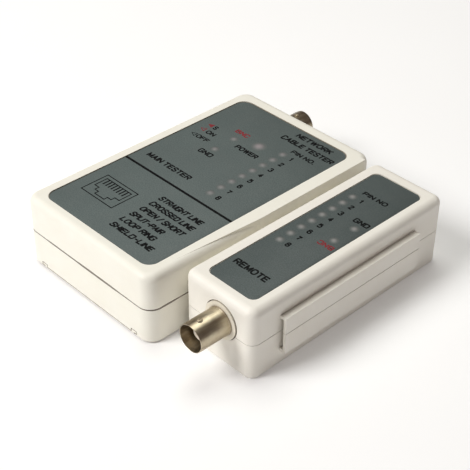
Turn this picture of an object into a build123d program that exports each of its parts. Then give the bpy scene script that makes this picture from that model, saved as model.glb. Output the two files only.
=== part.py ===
from build123d import *
import os

os.makedirs("parts", exist_ok=True)

# A hand-held network cable tester: a main unit and a smaller remote unit docked on its right side.
# Millimetres. +X is the label's reading direction, +Y points to the main unit's socket end, +Z is up.
# The origin is the centre of the main unit's underside.

# ---- Both cases ----
case_height = 27.5
seam_height = 14.1
seam_gap = 0.2
lip_thickness = 0.8
lip_clearance = 0.15
lip_rise = 1.2
lip_depth = 1.5
lip_least_corner = 0.2
wall = 2.2
floor = 2.2
roof = 2.2
top_edge_radius = 2.8
bottom_edge_radius = 1.2
clearance = 0.3

# ---- Main case and its label ----
main_width = 65.8
main_length = 106.3
main_corner = 5.0
main_label_width = 55.2
main_label_length = 95.4
main_label_shift = -0.65
main_label_corner = 4.0

# ---- Remote case and its label ----
remote_width = 31.1
remote_length = 92.3
remote_corner = 3.4
remote_shift = 5.4
remote_label_width = 21.0
remote_label_length = 81.5
remote_label_dx = 0.33
remote_label_shift = -0.48
remote_label_corner = 2.5

# ---- Square shoulder along the right edge of the main case's roof ----
shoulder_height = 4.5
shoulder_front = -48.0
shoulder_taper = 44.0
shoulder_short_of_back = 4.3
shoulder_overlap = 0.5

# ---- Label film in its recess ----
film_thickness = 0.3
recess_depth = 0.5
film_margin = 0.2

# ---- Docking hood on a case's right wall, and the tongue that slides into it ----
hood_depth = 2.5
hood_slot = 1.4
hood_length = 65.1
hood_height = 14.4
hood_rim = 1.1
hood_corner = 0.6
hood_centre_height = 13.3
hood_mouth_y = -28.45
tongue_thickness = 0.8
tongue_foot_length = 7.5
tongue_short_of_end = 4.0

# ---- Circuit boards ----
board_thickness = 1.6
board_side_gap = 0.6
board_corner = 2.4
main_board_top = 9.0
board_front_gap = 3.2
remote_board_top = 10.0
board_screw_radius = 1.0
board_screw_head_radius = 1.9
board_screw_head_height = 1.2
board_screw_length = 5.0
standoff_radius = 2.2
thread_clearance = 0.05

# ---- Lamps ----
pin_lamp_count = 8
lamp_pitch = 5.08
lamp_radius = 1.5
lamp_rim_radius = 1.9
lamp_rim_height = 0.8
lamp_height = 5.3
power_lamp_radius = 2.5
power_lamp_rim_radius = 2.9
power_lamp_rim_height = 1.0
power_lamp_height = 8.6
lamp_under_film = 0.1
lamp_hole_clearance = 0.1
leg_thickness = 0.5
leg_spacing = 2.54
main_pin_lamp_x = 10.1
main_first_lamp_y = 29.85
power_lamp_place = (0.35, 27.4)
main_status_lamps = [(-9.6, 24.3), (-9.4, 14.5)]
remote_pin_lamp_inset = 9.5
remote_first_lamp_y = 28.35
remote_status_lamp_insets = [(22.4, 14.8), (22.1, 5.2)]

# ---- Modular jacks ----
jack_width = 15.4
jack_height = 13.2
jack_depth = 18.0
jack_set_back = 0.2
jack_mouth_width = 11.9
jack_mouth_height = 6.9
jack_mouth_depth = 13.0
jack_mouth_above_board = 4.6
latch_width = 6.2
latch_height = 1.9
jack_wall_gap = 0.25
contact_count = 8
contact_pitch = 1.02
contact_thickness = 0.35
contact_drop = 2.2
main_jack_x = 13.0
jack_to_boss = 0.4

# ---- Coaxial bayonet connectors ----
coax_above_board = 7.3
coax_body_width = 14.5
coax_body_height = 14.0
coax_body_depth = 12.0
coax_collar_radius = 6.8
coax_collar_proud = 0.5
coax_hole_clearance = 0.3
coax_tube_radius = 5.1
coax_tube_bore = 4.3
coax_tube_buried = 3.0
coax_foot_radius = 5.5
coax_foot_length = 1.6
coax_bore_depth = 8.4
coax_core_radius = 2.35
coax_core_length = 5.1
coax_pin_radius = 1.1
coax_pin_bore = 0.67
coax_pin_length = 5.0
lug_radius = 0.95
lug_circle_radius = 5.55
lug_from_mouth = 3.9
main_coax_x = -12.4
main_coax_reach = 11.8
remote_coax_inset = 17.37
remote_coax_reach = 12.9

# ---- Three-position slide switch on the main unit's left wall ----
switch_centre_y = 20.4
switch_step = 4.0
switch_can_depth = 4.6
switch_can_height = 4.8
can_thickness = 0.5
knob_width = 3.4
knob_height = 2.4
knob_reach = 1.9
knob_foot_width = 4.6
knob_foot_height = 3.2
knob_foot_depth = 1.4
switch_base_thickness = 1.4
switch_pin_thickness = 0.6
switch_pin_length = 2.6

# ---- Battery, its clip and its door ----
battery_length = 46.4
battery_width = 26.5
battery_height = 17.5
battery_corner = 2.0
battery_left_gap = 5.0
battery_front_gap = 0.3
battery_rise = 0.3
terminal_spacing = 12.7
terminal_height = 2.1
small_terminal_radius = 2.8
large_terminal_radius = 4.3
large_terminal_bore = 3.1
clip_plate_width = 25.0
clip_plate_height = 12.4
clip_plate_thickness = 1.8
clip_cup_wall = 0.9
clip_stud_radius = 2.7
clip_gap = 0.15
lead_radius = 0.65
lead_spacing = 2.2
lead_over_wall = 1.4
lead_reach = 9.0
lead_bend = 1.5
bay_wall_thickness = 1.6
bay_wall_top = 11.0
door_width = 51.2
door_plate_thickness = 1.0
door_rail_width = 1.2
door_web = 1.2
door_rail_thickness = 0.8
ridge_count = 5
ridge_pitch = 1.8
ridge_width = 0.8
ridge_depth = 0.4
ridge_length = 14.0
ridge_from_front = 5.0

# ---- Case screws ----
screw_inset_x = 3.6
screw_inset_y = 7.15
boss_radius = 3.3
boss_in_wall = 0.5
counterbore_radius = 2.4
counterbore_depth = 7.0
screw_radius = 1.1
screw_head_radius = 2.2
screw_head_height = 1.6
screw_length = 11.0
pilot_spare = 1.0
screw_way_clearance = 0.2
cross_width = 0.6
cross_length = 2.4
cross_depth = 0.8

# ---- Small electronic parts ----
chip_width = 6.35
chip_height = 3.3
chip_lift = 0.6
long_chip_length = 19.3
short_chip_length = 9.4
long_chip_place = (0.2, 3.0)
short_chip_place = (-14.0, 0.0)
long_chip_pins = 8
short_chip_pins = 4
chip_pin_thickness = 0.5
chip_pin_reach = 0.8
resistor_radius = 1.15
resistor_length = 6.3
resistor_x = 20.5
diode_radius = 0.95
diode_length = 3.9
diode_inset = 16.3
lead_wire_thickness = 0.5
wire_stub = 1.6
capacitor_radius = 2.5
capacitor_height = 11.0
capacitor_x = -21.0
capacitor_from_board_front = [19.5, 11.5]

# ---- Worked out from the sizes above ----
main_right = main_width / 2
main_front = -main_length / 2
main_back = main_length / 2
remote_left = main_right + hood_depth + clearance
remote_x = remote_left + remote_width / 2
remote_right = remote_left + remote_width
remote_front = remote_shift - remote_length / 2
remote_back = remote_shift + remote_length / 2
main_centre = (0, 0)
remote_centre = (remote_x, remote_shift)
film_bottom = case_height - recess_depth
roof_bottom = case_height - roof
seam_top = seam_height + seam_gap / 2
seam_bottom = seam_height - seam_gap / 2
main_coax_z = main_board_top + coax_above_board
remote_coax_z = remote_board_top + coax_above_board
main_pin_lamps = [(main_pin_lamp_x, main_first_lamp_y - i * lamp_pitch) for i in range(pin_lamp_count)]
remote_pin_lamp_x = remote_left + remote_pin_lamp_inset
remote_pin_lamps = [(remote_pin_lamp_x, remote_first_lamp_y - i * lamp_pitch) for i in range(pin_lamp_count)]
remote_status_lamps = [(remote_left + inset, y) for inset, y in remote_status_lamp_insets]
remote_coax_x = remote_left + remote_coax_inset
diode_x = remote_left + diode_inset
main_screws = [
    (side * (main_right - screw_inset_x), end * (main_back - screw_inset_y))
    for side in (-1, 1)
    for end in (-1, 1)
]
remote_screw_inset = wall + boss_radius - boss_in_wall
remote_jack_x = remote_right - remote_screw_inset - boss_radius - jack_to_boss - jack_width / 2
remote_screws = [
    (remote_left + remote_screw_inset, remote_front + remote_screw_inset),
    (remote_right - remote_screw_inset, remote_back - remote_screw_inset),
]


# ---- Small helpers ----
def save(part, name):
    """Name a finished piece and write it to its own file."""
    part.label = name
    export_step(part, f"parts/{name}.step")


def block(low, high):
    """A cuboid between its lowest and highest corners."""
    with BuildPart() as cuboid:
        with BuildSketch(Plane.XY.offset(low[2])):
            with Locations(((low[0] + high[0]) / 2, (low[1] + high[1]) / 2)):
                Rectangle(high[0] - low[0], high[1] - low[1])
        extrude(amount=high[2] - low[2])
    return cuboid.part


def slab(centre, width, length, corner, low, high):
    """An upright block with rounded corners, from height low to height high."""
    with BuildPart() as plate:
        with BuildSketch(Plane.XY.offset(low)):
            with Locations(centre):
                RectangleRounded(width, length, corner)
        extrude(amount=high - low)
    return plate.part


def posts(places, radius, low, high):
    """Upright round posts of one height, as one group."""
    with BuildPart() as group:
        with BuildSketch(Plane.XY.offset(low)):
            with Locations(places):
                Circle(radius)
        extrude(amount=high - low)
    return group.part


def wall_plane(x, y, z, facing):
    """A plane on an end wall with its normal along facing * Y and its own Y axis upwards."""
    return Plane(origin=(x, y, z), x_dir=(-facing, 0, 0), z_dir=(0, facing, 0))


# ---- Case shells ----
def hood(wall_x, low, high):
    """The part of a hood rail between two heights, open towards -Y, on the wall plane at wall_x."""
    middle_y = hood_mouth_y + hood_length / 2
    with BuildPart() as rail:
        with BuildSketch(Plane.YZ.offset(wall_x - wall / 2)):
            with Locations((middle_y - hood_corner, hood_centre_height)):
                Rectangle(hood_length - 2 * hood_corner, hood_height)
            with Locations((middle_y, hood_centre_height)):
                RectangleRounded(hood_length, hood_height, hood_corner)
            with Locations((middle_y, (low + high) / 2)):
                Rectangle(hood_length, high - low, mode=Mode.INTERSECT)
        extrude(amount=wall / 2 + hood_depth)
    return rail.part


def shoulder():
    """The square edge that fills the roof's rounding beside the docked remote, tapering in at the front."""
    inner_x = main_right - top_edge_radius - shoulder_overlap
    back = main_back - shoulder_short_of_back
    with BuildPart() as filled:
        with BuildSketch(Plane.XY.offset(case_height - shoulder_height)):
            with BuildLine():
                Polyline(
                    (inner_x, shoulder_front),
                    (main_right, shoulder_front + shoulder_taper),
                    (main_right, back),
                    (inner_x, back),
                    close=True,
                )
            make_face()
        extrude(amount=shoulder_height)
    return filled.part


def hood_pocket(wall_x):
    """The slot inside a hood rail: open at its mouth, closed at its top, bottom and far end."""
    length = hood_length - hood_rim
    with BuildPart() as pocket:
        with BuildSketch(Plane.YZ.offset(wall_x)):
            with Locations((hood_mouth_y + length / 2, hood_centre_height)):
                Rectangle(length, hood_height - 2 * hood_rim)
        extrude(amount=hood_slot)
    return pocket.part


def tongue(wall_x, low, high):
    """The part between two heights of the tongue on a left wall, on a foot ahead of the hood's mouth."""
    outer_x = wall_x - clearance - hood_depth + (hood_slot - tongue_thickness) / 2
    height = hood_height - 2 * hood_rim - 2 * clearance
    foot_back = hood_mouth_y - clearance
    tip = hood_mouth_y + hood_length - hood_rim - tongue_short_of_end
    bottom = max(low, hood_centre_height - height / 2)
    top = min(high, hood_centre_height + height / 2)
    with BuildPart() as blade:
        add(block((outer_x, foot_back - tongue_foot_length, bottom), (outer_x + tongue_thickness, tip, top)))
        add(block((outer_x, foot_back - tongue_foot_length, bottom), (wall_x + wall / 2, foot_back, top)))
    return blade.part


def shell_top(centre, width, length, corner, film, screws, openings, lamp_holes, extras):
    """The upper half of a case: a roof with a recess and lamp holes, and walls down to the seam.

    film is the label's centre, width, length and corner; lamp_holes are (places, radius) pairs.
    """
    film_centre, film_width, film_length, film_corner = film
    with BuildPart() as shell:
        with BuildSketch(Plane.XY.offset(seam_top)):
            with Locations(centre):
                RectangleRounded(width, length, corner)
        extrude(amount=case_height - seam_top)
        fillet(shell.faces().sort_by(Axis.Z)[-1].edges(), top_edge_radius)
        add(extras)
        add(
            slab(centre, width - 2 * wall, length - 2 * wall, corner - wall, seam_top, roof_bottom),
            mode=Mode.SUBTRACT,
        )
        add(
            slab(
                film_centre,
                film_width + 2 * film_margin,
                film_length + 2 * film_margin,
                film_corner + film_margin,
                film_bottom,
                case_height,
            ),
            mode=Mode.SUBTRACT,
        )
        add(posts(screws, boss_radius, seam_top, roof_bottom))
        pilot_top = counterbore_depth + screw_length + pilot_spare
        add(posts(screws, screw_radius + thread_clearance, seam_top, pilot_top), mode=Mode.SUBTRACT)
        for places, radius in lamp_holes:
            add(posts(places, radius, roof_bottom, film_bottom), mode=Mode.SUBTRACT)
        add(openings, mode=Mode.SUBTRACT)
    return shell.part


def seam_lip(centre, width, length, corner, screws, reliefs):
    """A thin ring on the bottom shell's inner wall that rises behind the seam, clear of the top's bosses."""
    hidden = 2 * (lip_clearance + lip_thickness)
    inner_width = width - 2 * wall
    inner_length = length - 2 * wall
    inner_corner = corner - wall
    lip_corner = max(inner_corner - hidden / 2, lip_least_corner)
    foot = seam_bottom - lip_depth
    top = seam_top + lip_rise
    with BuildPart() as lip:
        add(slab(centre, inner_width + wall, inner_length + wall, corner - wall / 2, foot, seam_bottom))
        add(
            slab(
                centre,
                inner_width - 2 * lip_clearance,
                inner_length - 2 * lip_clearance,
                inner_corner - lip_clearance,
                seam_bottom,
                top,
            )
        )
        add(
            slab(centre, inner_width - hidden, inner_length - hidden, lip_corner, foot, top),
            mode=Mode.SUBTRACT,
        )
        add(posts(screws, boss_radius + lip_clearance, seam_bottom, top), mode=Mode.SUBTRACT)
        add(reliefs, mode=Mode.SUBTRACT)
    return lip.part


def shell_bottom(centre, width, length, corner, screws, standoffs, board_top, openings, extras, lip):
    """The lower half of a case: a floor, walls up to the seam, screw bosses and board standoffs."""
    board_bottom = board_top - board_thickness
    with BuildPart() as shell:
        with BuildSketch():
            with Locations(centre):
                RectangleRounded(width, length, corner)
        extrude(amount=seam_bottom)
        fillet(shell.faces().sort_by(Axis.Z)[0].edges(), bottom_edge_radius)
        add(extras)
        add(
            slab(centre, width - 2 * wall, length - 2 * wall, corner - wall, floor, seam_bottom),
            mode=Mode.SUBTRACT,
        )
        add(lip)
        add(posts(screws, boss_radius, floor, seam_bottom))
        add(posts(screws, screw_radius + screw_way_clearance, 0, seam_bottom), mode=Mode.SUBTRACT)
        add(posts(screws, counterbore_radius, 0, counterbore_depth), mode=Mode.SUBTRACT)
        add(posts(standoffs, standoff_radius, floor, board_bottom))
        add(posts(standoffs, board_screw_radius + thread_clearance, floor, board_bottom), mode=Mode.SUBTRACT)
        add(openings, mode=Mode.SUBTRACT)
    return shell.part


def label_film(centre, width, length, corner):
    """The thin printed film that lies on the floor of the roof's recess."""
    return slab(centre, width, length, corner, film_bottom, film_bottom + film_thickness)


# ---- Boards and fasteners ----
def circuit_board(low, high, top, screws, standoffs):
    """A board with round notches for the case bosses and holes for its own screws."""
    with BuildPart() as board:
        middle = ((low[0] + high[0]) / 2, (low[1] + high[1]) / 2)
        add(slab(middle, high[0] - low[0], high[1] - low[1], board_corner, top - board_thickness, top))
        add(posts(screws, boss_radius + board_side_gap, top - board_thickness, top), mode=Mode.SUBTRACT)
        add(
            posts(standoffs, board_screw_radius + screw_way_clearance, top - board_thickness, top),
            mode=Mode.SUBTRACT,
        )
    return board.part


def board_screws(places, board_top):
    """Pan-head screws through the board into its standoffs, with slots in their heads."""
    with BuildPart() as group:
        add(posts(places, board_screw_head_radius, board_top, board_top + board_screw_head_height))
        fillet(group.faces().group_by(Axis.Z)[-1].edges(), board_screw_head_height / 3)
        add(posts(places, board_screw_radius, board_top - board_screw_length, board_top))
        with BuildSketch(Plane.XY.offset(board_top + board_screw_head_height)):
            with Locations(places):
                Rectangle(2 * board_screw_head_radius, cross_width)
        extrude(amount=-board_screw_head_height / 2, mode=Mode.SUBTRACT)
    return group.part


def case_screws(places):
    """Screws up through the bottom shell's counterbores, with cross recesses that face down."""
    head_bottom = counterbore_depth - screw_head_height
    with BuildPart() as group:
        add(posts(places, screw_head_radius, head_bottom, counterbore_depth))
        fillet(group.faces().group_by(Axis.Z)[0].edges(), screw_head_height / 3)
        add(posts(places, screw_radius, counterbore_depth, counterbore_depth + screw_length))
        with BuildSketch(Plane.XY.offset(head_bottom)):
            with Locations(places):
                Rectangle(cross_width, cross_length)
                Rectangle(cross_length, cross_width)
        extrude(amount=cross_depth, mode=Mode.SUBTRACT)
    return group.part


# ---- Lamps ----
def lamps(places, radius, rim_radius, rim_height, height):
    """Domed lamps that reach up through the roof to just under the label film."""
    top = film_bottom - lamp_under_film
    with BuildPart() as group:
        add(posts(places, rim_radius, top - height, top - height + rim_height))
        add(posts(places, radius, top - height, top - radius))
        with Locations([(x, y, top - radius) for x, y in places]):
            Sphere(radius)
    return group.part


def lamp_legs(places, board_top, height):
    """Two square wire legs under each lamp, standing on the board."""
    bottom_of_lamp = film_bottom - lamp_under_film - height
    with BuildPart() as group:
        with BuildSketch(Plane.XY.offset(board_top)):
            with Locations([(x + side * leg_spacing / 2, y) for x, y in places for side in (-1, 1)]):
                Rectangle(leg_thickness, leg_thickness)
        extrude(amount=bottom_of_lamp - board_top)
    return group.part


# ---- Modular jack on the +Y wall ----
def jack_mouth_heights(board_top):
    """Bottom and top of the plug space; the latch notch is below it."""
    bottom = board_top + jack_mouth_above_board
    return bottom, bottom + jack_mouth_height


def jack_opening(x, board_top, wall_y):
    """The hole in the end wall round a jack's face."""
    half = jack_width / 2 + jack_wall_gap
    return block(
        (x - half, wall_y - wall - 1, board_top - jack_wall_gap),
        (x + half, wall_y + 1, board_top + jack_height + jack_wall_gap),
    )


def jack_housing(x, board_top, wall_y):
    """A box with a stepped socket in its face: the plug space and, below it, the latch notch."""
    face_y = wall_y - jack_set_back
    bottom, top = jack_mouth_heights(board_top)
    deep = face_y - jack_mouth_depth
    half = jack_mouth_width / 2
    slot_reach = contact_pitch * contact_count / 2
    with BuildPart() as housing:
        add(
            block(
                (x - jack_width / 2, face_y - jack_depth, board_top),
                (x + jack_width / 2, face_y, board_top + jack_height),
            )
        )
        add(block((x - half, deep, bottom), (x + half, face_y, top)), mode=Mode.SUBTRACT)
        add(
            block((x - latch_width / 2, deep, bottom - latch_height), (x + latch_width / 2, face_y, bottom)),
            mode=Mode.SUBTRACT,
        )
        add(block((x - slot_reach, deep + 1, top), (x + slot_reach, face_y - 1, top + 1)), mode=Mode.SUBTRACT)
    return housing.part


def jack_contacts(x, board_top, wall_y):
    """Eight spring wires that hang from the socket's roof and slope down towards its back."""
    face_y = wall_y - jack_set_back
    roof_z = jack_mouth_heights(board_top)[1] + 1
    start_y = face_y - 1.0
    end_y = face_y - jack_mouth_depth + 2.5
    with BuildPart() as group:
        for i in range(contact_count):
            left = x + (i - (contact_count - 1) / 2) * contact_pitch - contact_thickness / 2
            with BuildSketch(Plane.YZ.offset(left)):
                with BuildLine():
                    Polyline(
                        (start_y, roof_z),
                        (start_y - 1.4, roof_z - contact_thickness),
                        (end_y, roof_z - 1 - contact_drop),
                        (end_y, roof_z - 1 - contact_drop - contact_thickness),
                        (start_y - 1.2, roof_z - 2 * contact_thickness),
                        (start_y, roof_z - contact_thickness),
                        close=True,
                    )
                make_face()
            extrude(amount=contact_thickness)
    return group.part


# ---- Coaxial connector on an end wall ----
def coax_hole(plane):
    """The round hole in the end wall, centred on the connector."""
    with BuildPart() as hole:
        with BuildSketch(plane.offset(-wall - 1)):
            Circle(coax_collar_radius + coax_hole_clearance)
        extrude(amount=wall + 2)
    return hole.part


def coax_body(plane):
    """The moulded block that stands on the board, with a round collar through the case wall."""
    inner_face = -wall - clearance
    with BuildPart() as body:
        with BuildSketch(plane.offset(inner_face - coax_body_depth)):
            with Locations((0, (coax_body_height / 2 - coax_above_board))):
                Rectangle(coax_body_width, coax_body_height)
        extrude(amount=coax_body_depth)
        with BuildSketch(plane.offset(inner_face)):
            Circle(coax_collar_radius)
        extrude(amount=coax_collar_proud - inner_face)
        with BuildSketch(plane.offset(-coax_tube_buried)):
            Circle(coax_tube_radius)
        extrude(amount=coax_tube_buried + coax_collar_proud, mode=Mode.SUBTRACT)
    return body.part


def coax_tube(plane, reach):
    """The nickel-plated outer tube with its foot ring, open mouth and two bayonet lugs."""
    with BuildPart() as tube:
        with BuildSketch(plane.offset(-coax_tube_buried)):
            Circle(coax_tube_radius)
        extrude(amount=coax_tube_buried + reach)
        with BuildSketch(plane.offset(coax_collar_proud)):
            Circle(coax_foot_radius)
        extrude(amount=coax_foot_length)
        with BuildSketch(Plane(origin=plane.offset(reach - lug_from_mouth).origin)):
            Circle(lug_radius)
        extrude(amount=lug_circle_radius, both=True)
        with BuildSketch(plane.offset(reach - coax_bore_depth)):
            Circle(coax_tube_bore)
        extrude(amount=coax_bore_depth, mode=Mode.SUBTRACT)
        with BuildSketch(plane.offset(-coax_tube_buried)):
            Circle(coax_core_radius)
        extrude(amount=coax_tube_buried + reach, mode=Mode.SUBTRACT)
    return tube.part


def coax_core(plane, reach):
    """The insulating core round the centre contact, set back from the mouth."""
    front = reach - coax_bore_depth + coax_core_length
    with BuildPart() as core:
        with BuildSketch(plane.offset(-coax_tube_buried)):
            Circle(coax_core_radius)
            Circle(coax_pin_radius, mode=Mode.SUBTRACT)
        extrude(amount=coax_tube_buried + front)
    return core.part


def coax_pin(plane, reach):
    """The hollow centre contact, level with the front of the core."""
    front = reach - coax_bore_depth + coax_core_length
    with BuildPart() as pin:
        with BuildSketch(plane.offset(-coax_tube_buried)):
            Circle(coax_pin_radius)
        extrude(amount=coax_tube_buried + front)
        with BuildSketch(plane.offset(front - coax_pin_length)):
            Circle(coax_pin_bore)
        extrude(amount=coax_pin_length, mode=Mode.SUBTRACT)
    return pin.part


# ---- Small electronic parts ----
def chip(place, length, board_top):
    """The moulded body of a dual-row chip, long along Y, with a half-round notch at its end."""
    bottom = board_top + chip_lift
    with BuildPart() as body:
        with BuildSketch(Plane.XY.offset(bottom)):
            with Locations(place):
                Rectangle(chip_width, length)
        extrude(amount=chip_height)
        with BuildSketch(Plane.XY.offset(bottom + chip_height)):
            with Locations((place[0], place[1] + length / 2)):
                Circle(chip_width / 6)
        extrude(amount=-chip_height / 4, mode=Mode.SUBTRACT)
    return body.part


def chip_pins(place, pins_per_side, board_top):
    """Two rows of bent pins, each from the chip's side out and down to the board."""
    middle = board_top + chip_lift + chip_height / 2
    with BuildPart() as group:
        for side in (-1, 1):
            inner = place[0] + side * chip_width / 2
            outer = inner + side * chip_pin_reach
            shoulder_x = (inner + outer) / 2
            leg_x = outer - side * chip_pin_thickness / 2
            pin_places = [
                place[1] + (i - (pins_per_side - 1) / 2) * leg_spacing for i in range(pins_per_side)
            ]
            with BuildSketch(Plane.XY.offset(middle)):
                with Locations([(shoulder_x, y) for y in pin_places]):
                    Rectangle(chip_pin_reach, chip_pin_thickness)
            extrude(amount=chip_pin_thickness)
            with BuildSketch(Plane.XY.offset(board_top)):
                with Locations([(leg_x, y) for y in pin_places]):
                    Rectangle(chip_pin_thickness, chip_pin_thickness)
            extrude(amount=middle + chip_pin_thickness - board_top)
    return group.part


def axial_parts(x, ys, radius, length, board_top):
    """Small round bodies that lie along X on the board, each with a bent wire at both ends."""
    axis_z = board_top + radius
    with BuildPart() as group:
        for y in ys:
            with BuildSketch(Plane.YZ.offset(x - length / 2)):
                with Locations((y, axis_z)):
                    Circle(radius)
            extrude(amount=length)
        for y in ys:
            for side in (-1, 1):
                end = x + side * length / 2
                tip = end + side * wire_stub
                half = lead_wire_thickness / 2
                low_x, high_x = min(end, tip), max(end, tip)
                add(block((low_x, y - half, axis_z - half), (high_x, y + half, axis_z + half)))
                low_x, high_x = min(tip, tip - side * 2 * half), max(tip, tip - side * 2 * half)
                add(block((low_x, y - half, board_top), (high_x, y + half, axis_z)))
    return group.part


# ---- Slide switch on the left wall ----
switch_z = main_board_top + switch_can_height / 2
can_left = -main_right + wall + clearance
can_right = can_left + switch_can_depth
cavity_half = switch_step + knob_foot_width / 2 + clearance
slot_half = switch_step + knob_width / 2 + clearance
slot_half_height = knob_height / 2 + clearance


def switch_slot(low_x, high_x):
    """The slot for the knob's whole travel, between two X positions."""
    return block(
        (low_x, switch_centre_y - slot_half, switch_z - slot_half_height),
        (high_x, switch_centre_y + slot_half, switch_z + slot_half_height),
    )


def switch_cavity(left, right):
    """The space inside the switch can, between two X positions."""
    return block(
        (left, switch_centre_y - cavity_half, main_board_top + can_thickness),
        (right, switch_centre_y + cavity_half, main_board_top + switch_can_height - can_thickness),
    )


def switch_can():
    """The folded metal can: closed towards the wall apart from the knob's slot, open at the back."""
    half = cavity_half + can_thickness
    with BuildPart() as can:
        add(
            block(
                (can_left, switch_centre_y - half, main_board_top),
                (can_right, switch_centre_y + half, main_board_top + switch_can_height),
            )
        )
        add(switch_cavity(can_left + can_thickness, can_right), mode=Mode.SUBTRACT)
        add(switch_slot(can_left, can_right), mode=Mode.SUBTRACT)
    return can.part


def switch_knob():
    """The knob in its first position: a foot inside the can and a stem out through both slots."""
    y = switch_centre_y - switch_step
    foot_left = can_left + can_thickness + clearance
    with BuildPart() as knob:
        add(
            block(
                (foot_left, y - knob_foot_width / 2, switch_z - knob_foot_height / 2),
                (foot_left + knob_foot_depth, y + knob_foot_width / 2, switch_z + knob_foot_height / 2),
            )
        )
        add(
            block(
                (-main_right - knob_reach, y - knob_width / 2, switch_z - knob_height / 2),
                (foot_left, y + knob_width / 2, switch_z + knob_height / 2),
            )
        )
    return knob.part


def switch_pins():
    """Four square pins from the back of the switch down to the board."""
    ys = [switch_centre_y + (i - 1.5) * switch_step for i in range(4)]
    x = can_right + switch_pin_thickness / 2
    with BuildPart() as group:
        with BuildSketch(Plane.XY.offset(main_board_top)):
            with Locations([(x, y) for y in ys]):
                Rectangle(switch_pin_thickness, switch_pin_thickness)
        extrude(amount=switch_pin_length)
    return group.part


# ---- Battery bay ----
battery_left = -main_right + wall + battery_left_gap
battery_right = battery_left + battery_length
battery_front = main_front + wall + lip_clearance + lip_thickness + battery_front_gap
battery_back = battery_front + battery_width
battery_y = (battery_front + battery_back) / 2
door_rail_top = door_plate_thickness + clearance + door_rail_thickness
door_back = battery_back + clearance
bay_wall_front = door_back + 2 * clearance
bay_wall_back = bay_wall_front + bay_wall_thickness
battery_bottom = door_rail_top + battery_rise
battery_z = battery_bottom + battery_height / 2
battery_top = battery_bottom + battery_height
clip_inner = battery_right + terminal_height + clip_gap
clip_outer = clip_inner + clip_plate_thickness
lead_x = (clip_inner + clip_outer) / 2


def door_opening():
    """The battery door's way: between and above two ledges in the floor, and out through the front wall."""
    half_plate = door_width / 2 - door_rail_width + clearance
    half_rail = door_width / 2 + clearance
    half_web = door_width / 2 - door_rail_width - door_web - clearance
    back = door_back + clearance
    inside_front = main_front + wall
    outside = main_front - 1
    rail_way_top = door_rail_top + clearance
    top = max(floor, rail_way_top)
    with BuildPart() as way:
        add(block((-half_plate, inside_front, -1), (half_plate, back, top)))
        add(block((-half_rail, inside_front, door_plate_thickness), (half_rail, back, top)))
        add(block((-half_plate, outside, -1), (half_plate, inside_front, door_plate_thickness + clearance)))
        add(block((-half_rail, outside, door_plate_thickness), (-half_web, inside_front, rail_way_top)))
        add(block((half_web, outside, door_plate_thickness), (half_rail, inside_front, rail_way_top)))
    return way.part


def battery_door():
    """A thin plate with a web and a rail along each side, which slides out to the front, and thumb ridges."""
    half_plate = door_width / 2 - door_rail_width
    half_rail = door_width / 2
    rail_bottom = door_plate_thickness + clearance
    with BuildPart() as outline:
        add(block((-half_rail, main_front, 0), (half_rail, door_back, door_rail_top)))
        fillet(outline.edges().group_by(Axis.Z)[0].sort_by(Axis.Y)[0], bottom_edge_radius)
    with BuildPart() as door:
        add(block((-half_plate, main_front, 0), (half_plate, door_back, door_plate_thickness)))
        for side in (-1, 1):
            web_x = side * (half_plate - door_web)
            plate_x = side * half_plate
            rail_x = side * half_rail
            add(block((min(web_x, plate_x), main_front, 0), (max(web_x, plate_x), door_back, door_rail_top)))
            low_x, high_x = min(web_x, rail_x), max(web_x, rail_x)
            add(block((low_x, main_front, rail_bottom), (high_x, door_back, door_rail_top)))
        add(outline.part, mode=Mode.INTERSECT)
        with BuildSketch():
            with Locations((0, main_front + wall + ridge_from_front + ridge_count * ridge_pitch / 2)):
                with GridLocations(0, ridge_pitch, 1, ridge_count):
                    Rectangle(ridge_length, ridge_width)
        extrude(amount=ridge_depth, mode=Mode.SUBTRACT)
    return door.part


def battery_bay_wall():
    """The rib across the floor behind the battery."""
    return block(
        (-main_right + wall / 2, bay_wall_front, floor),
        (main_right - wall / 2, bay_wall_back, bay_wall_top),
    )


def battery_case():
    """The battery's jacket, long along X, with rounded long edges."""
    with BuildPart() as jacket:
        with BuildSketch(Plane.YZ.offset(battery_left)):
            with Locations((battery_y, battery_z)):
                RectangleRounded(battery_width, battery_height, battery_corner)
        extrude(amount=battery_length)
    return jacket.part


def battery_terminals():
    """The small stud and the large hollow stud on the battery's right end."""
    with BuildPart() as pair:
        with BuildSketch(Plane.YZ.offset(battery_right)):
            with Locations((battery_y - terminal_spacing / 2, battery_z)):
                Circle(small_terminal_radius)
            with Locations((battery_y + terminal_spacing / 2, battery_z)):
                Circle(large_terminal_radius)
                Circle(large_terminal_bore, mode=Mode.SUBTRACT)
        extrude(amount=terminal_height)
    return pair.part


def battery_clip():
    """The snap plate over the terminals: a cup round the small stud and a stud inside the large one."""
    cup_bore = small_terminal_radius + clip_gap
    with BuildPart() as clip:
        with BuildSketch(Plane.YZ.offset(clip_inner)):
            with Locations((battery_y, battery_z)):
                RectangleRounded(clip_plate_width, clip_plate_height, battery_corner)
        extrude(amount=clip_plate_thickness)
        with BuildSketch(Plane.YZ.offset(battery_right + clearance)):
            with Locations((battery_y - terminal_spacing / 2, battery_z)):
                Circle(cup_bore + clip_cup_wall)
                Circle(cup_bore, mode=Mode.SUBTRACT)
            with Locations((battery_y + terminal_spacing / 2, battery_z)):
                Circle(clip_stud_radius)
        extrude(amount=clip_inner - battery_right - clearance)
    return clip.part


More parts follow.
